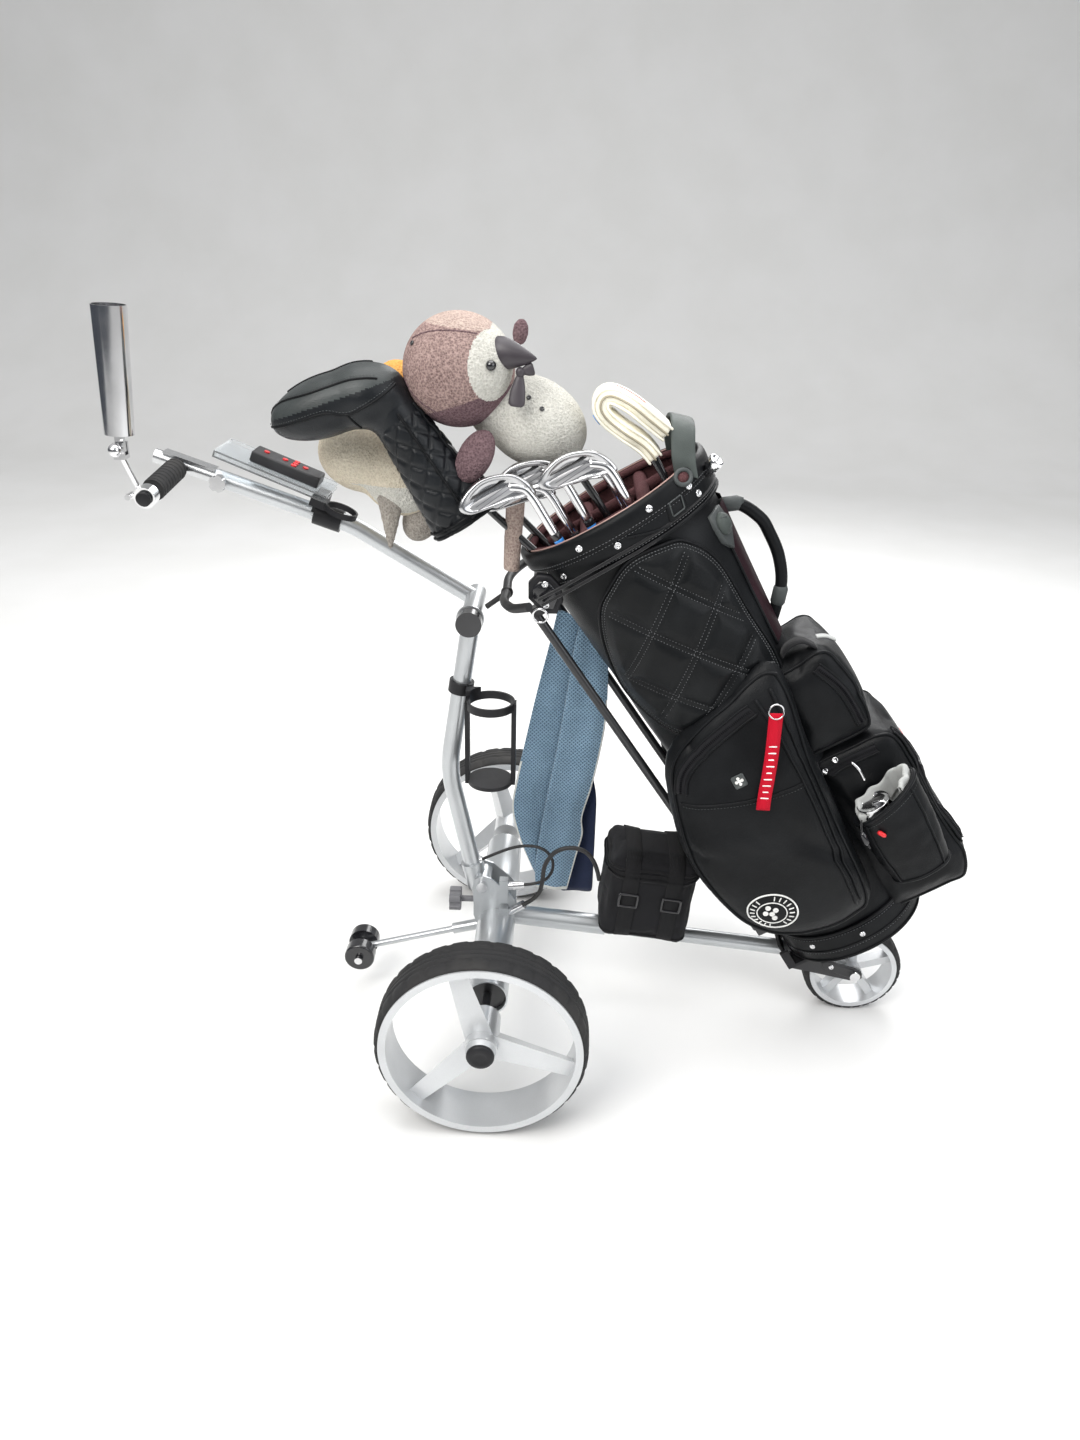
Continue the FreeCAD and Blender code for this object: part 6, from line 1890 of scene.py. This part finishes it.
def handle_pieces():
    """The ribs of the foam grip, and the cap on the end of its bar."""
    way = Vector((-0.0055, -0.125, -0.016)).normalized()
    across = way.cross(Vector((0, 0, 1))).normalized()
    other = way.cross(across)
    middle = middle_of("grip")
    rings = []
    for k in range(9):
        place = middle + way * (-0.038 + 0.0095 * k)
        ring = [place + across * 0.0151 * math.cos(a) + other * 0.0151 * math.sin(a)
                for a in angles(32)]
        rings.append(rope("grip_ring", ring, 0.0007, "foam", 6, closed=True))
    finish(join("grip_rings", rings), "extension")
    profile = [(0.0101, -0.003), (0.0101, 0.0008), (0.0085, 0.0018), (0.002, 0.0020)]
    cap = turned("grip_end_cap", middle + way * 0.077, way, across, profile, "black_plastic")
    finish(cap, "extension")


# ------------------------------------------------------------ floor and light

def studio():
    """A pale floor that curves up behind, a world that is brighter overhead, and four soft lamps."""
    floor_mesh = bpy.data.meshes.new("floor")
    size, back = 6.0, 4.0
    verts, faces = [], []
    profile = [(-6.0, 0.0)] + [(back + 1.6 * math.sin(a), 1.6 * (1 - math.cos(a))) for a in
                               (math.pi / 2 * k / 12 for k in range(13))] + [(back + 1.6, 7.0)]
    for x in (-size, size):
        for y, z in profile:
            verts.append((x, y, z))
    count = len(profile)
    for k in range(count - 1):
        faces.append((k, k + 1, count + k + 1, count + k))
    floor_mesh.from_pydata(verts, [], faces)
    floor_mesh.polygons.foreach_set("use_smooth", [True] * len(floor_mesh.polygons))
    look = Look("floor_paint", (0.80, 0.80, 0.79), 0.75)
    look.tint(look.noise(3, 4), (0.83, 0.83, 0.825))
    look.dull(look.noise(6, 4), 0.08)
    look.raise_by(look.noise(60, 3), 0.2)
    look.bump(0.05, 0.0005)
    floor_mesh.materials.append(look.material)
    floor = bpy.data.objects.new("floor", floor_mesh)
    bpy.context.collection.objects.link(floor)
    world = bpy.data.worlds.new("studio")
    bpy.context.scene.world = world
    world.use_nodes = True
    tree = world.node_tree
    shade = tree.nodes["Background"]
    place = tree.nodes.new("ShaderNodeTexCoord")
    height = tree.nodes.new("ShaderNodeSeparateXYZ")
    ramp = tree.nodes.new("ShaderNodeValToRGB")
    tree.links.new(place.outputs["Generated"], height.inputs["Vector"])
    tree.links.new(height.outputs["Z"], ramp.inputs["Fac"])
    tree.links.new(ramp.outputs["Color"], shade.inputs["Color"])
    ramp.color_ramp.elements[0].position, ramp.color_ramp.elements[1].position = 0.02, 0.75
    ramp.color_ramp.elements[0].color = (0.10, 0.11, 0.13, 1)
    ramp.color_ramp.elements[1].color = (1.0, 1.0, 1.0, 1)
    shade.inputs["Strength"].default_value = 0.75
    bpy.context.scene.view_settings.view_transform = "Standard"
    for name, place, size, power, colour in (
            ("key", (-1.6, -2.2, 3.0), 1.9, 95, (1.0, 0.98, 0.95)),
            ("fill", (2.4, -1.6, 2.0), 2.2, 38, (0.95, 0.97, 1.0)),
            ("top", (0.0, 0.2, 3.4), 2.6, 70, (1.0, 1.0, 1.0)),
            ("rim", (0.8, 2.3, 2.2), 1.6, 40, (1.0, 1.0, 1.0))):
        light = bpy.data.lights.new(name, "AREA")
        light.shape = "SQUARE"
        light.size = size
        light.energy = power
        light.color = colour
        obj = bpy.data.objects.new(name, light)
        bpy.context.collection.objects.link(obj)
        obj.location = place
        obj.rotation_euler = (Vector((0, 0, 0.55)) - Vector(place)).to_track_quat("-Z", "Y").to_euler()


cables()
dress_nodes()
bag_body()
bag_cuff()
for side, name in ((-1, "near_quilt"), (1, "far_quilt")):
    quilted_panel(side, name)
near_face, _ = (side_pocket(side, name) for side, name in ((-1, "near_pocket"), (1, "far_pocket")))
emblem(near_face)
front_pockets()
bag_base_trim()
bag_handles()
elastic_pieces()
spine_badge()
clubs()
driver_cover()
penguin_cover()
beige_cover()
putter_cover()
towel()
ribbon_tag()
battery_bag()
wheels()
handle_pieces()
fork_plate()
studio()
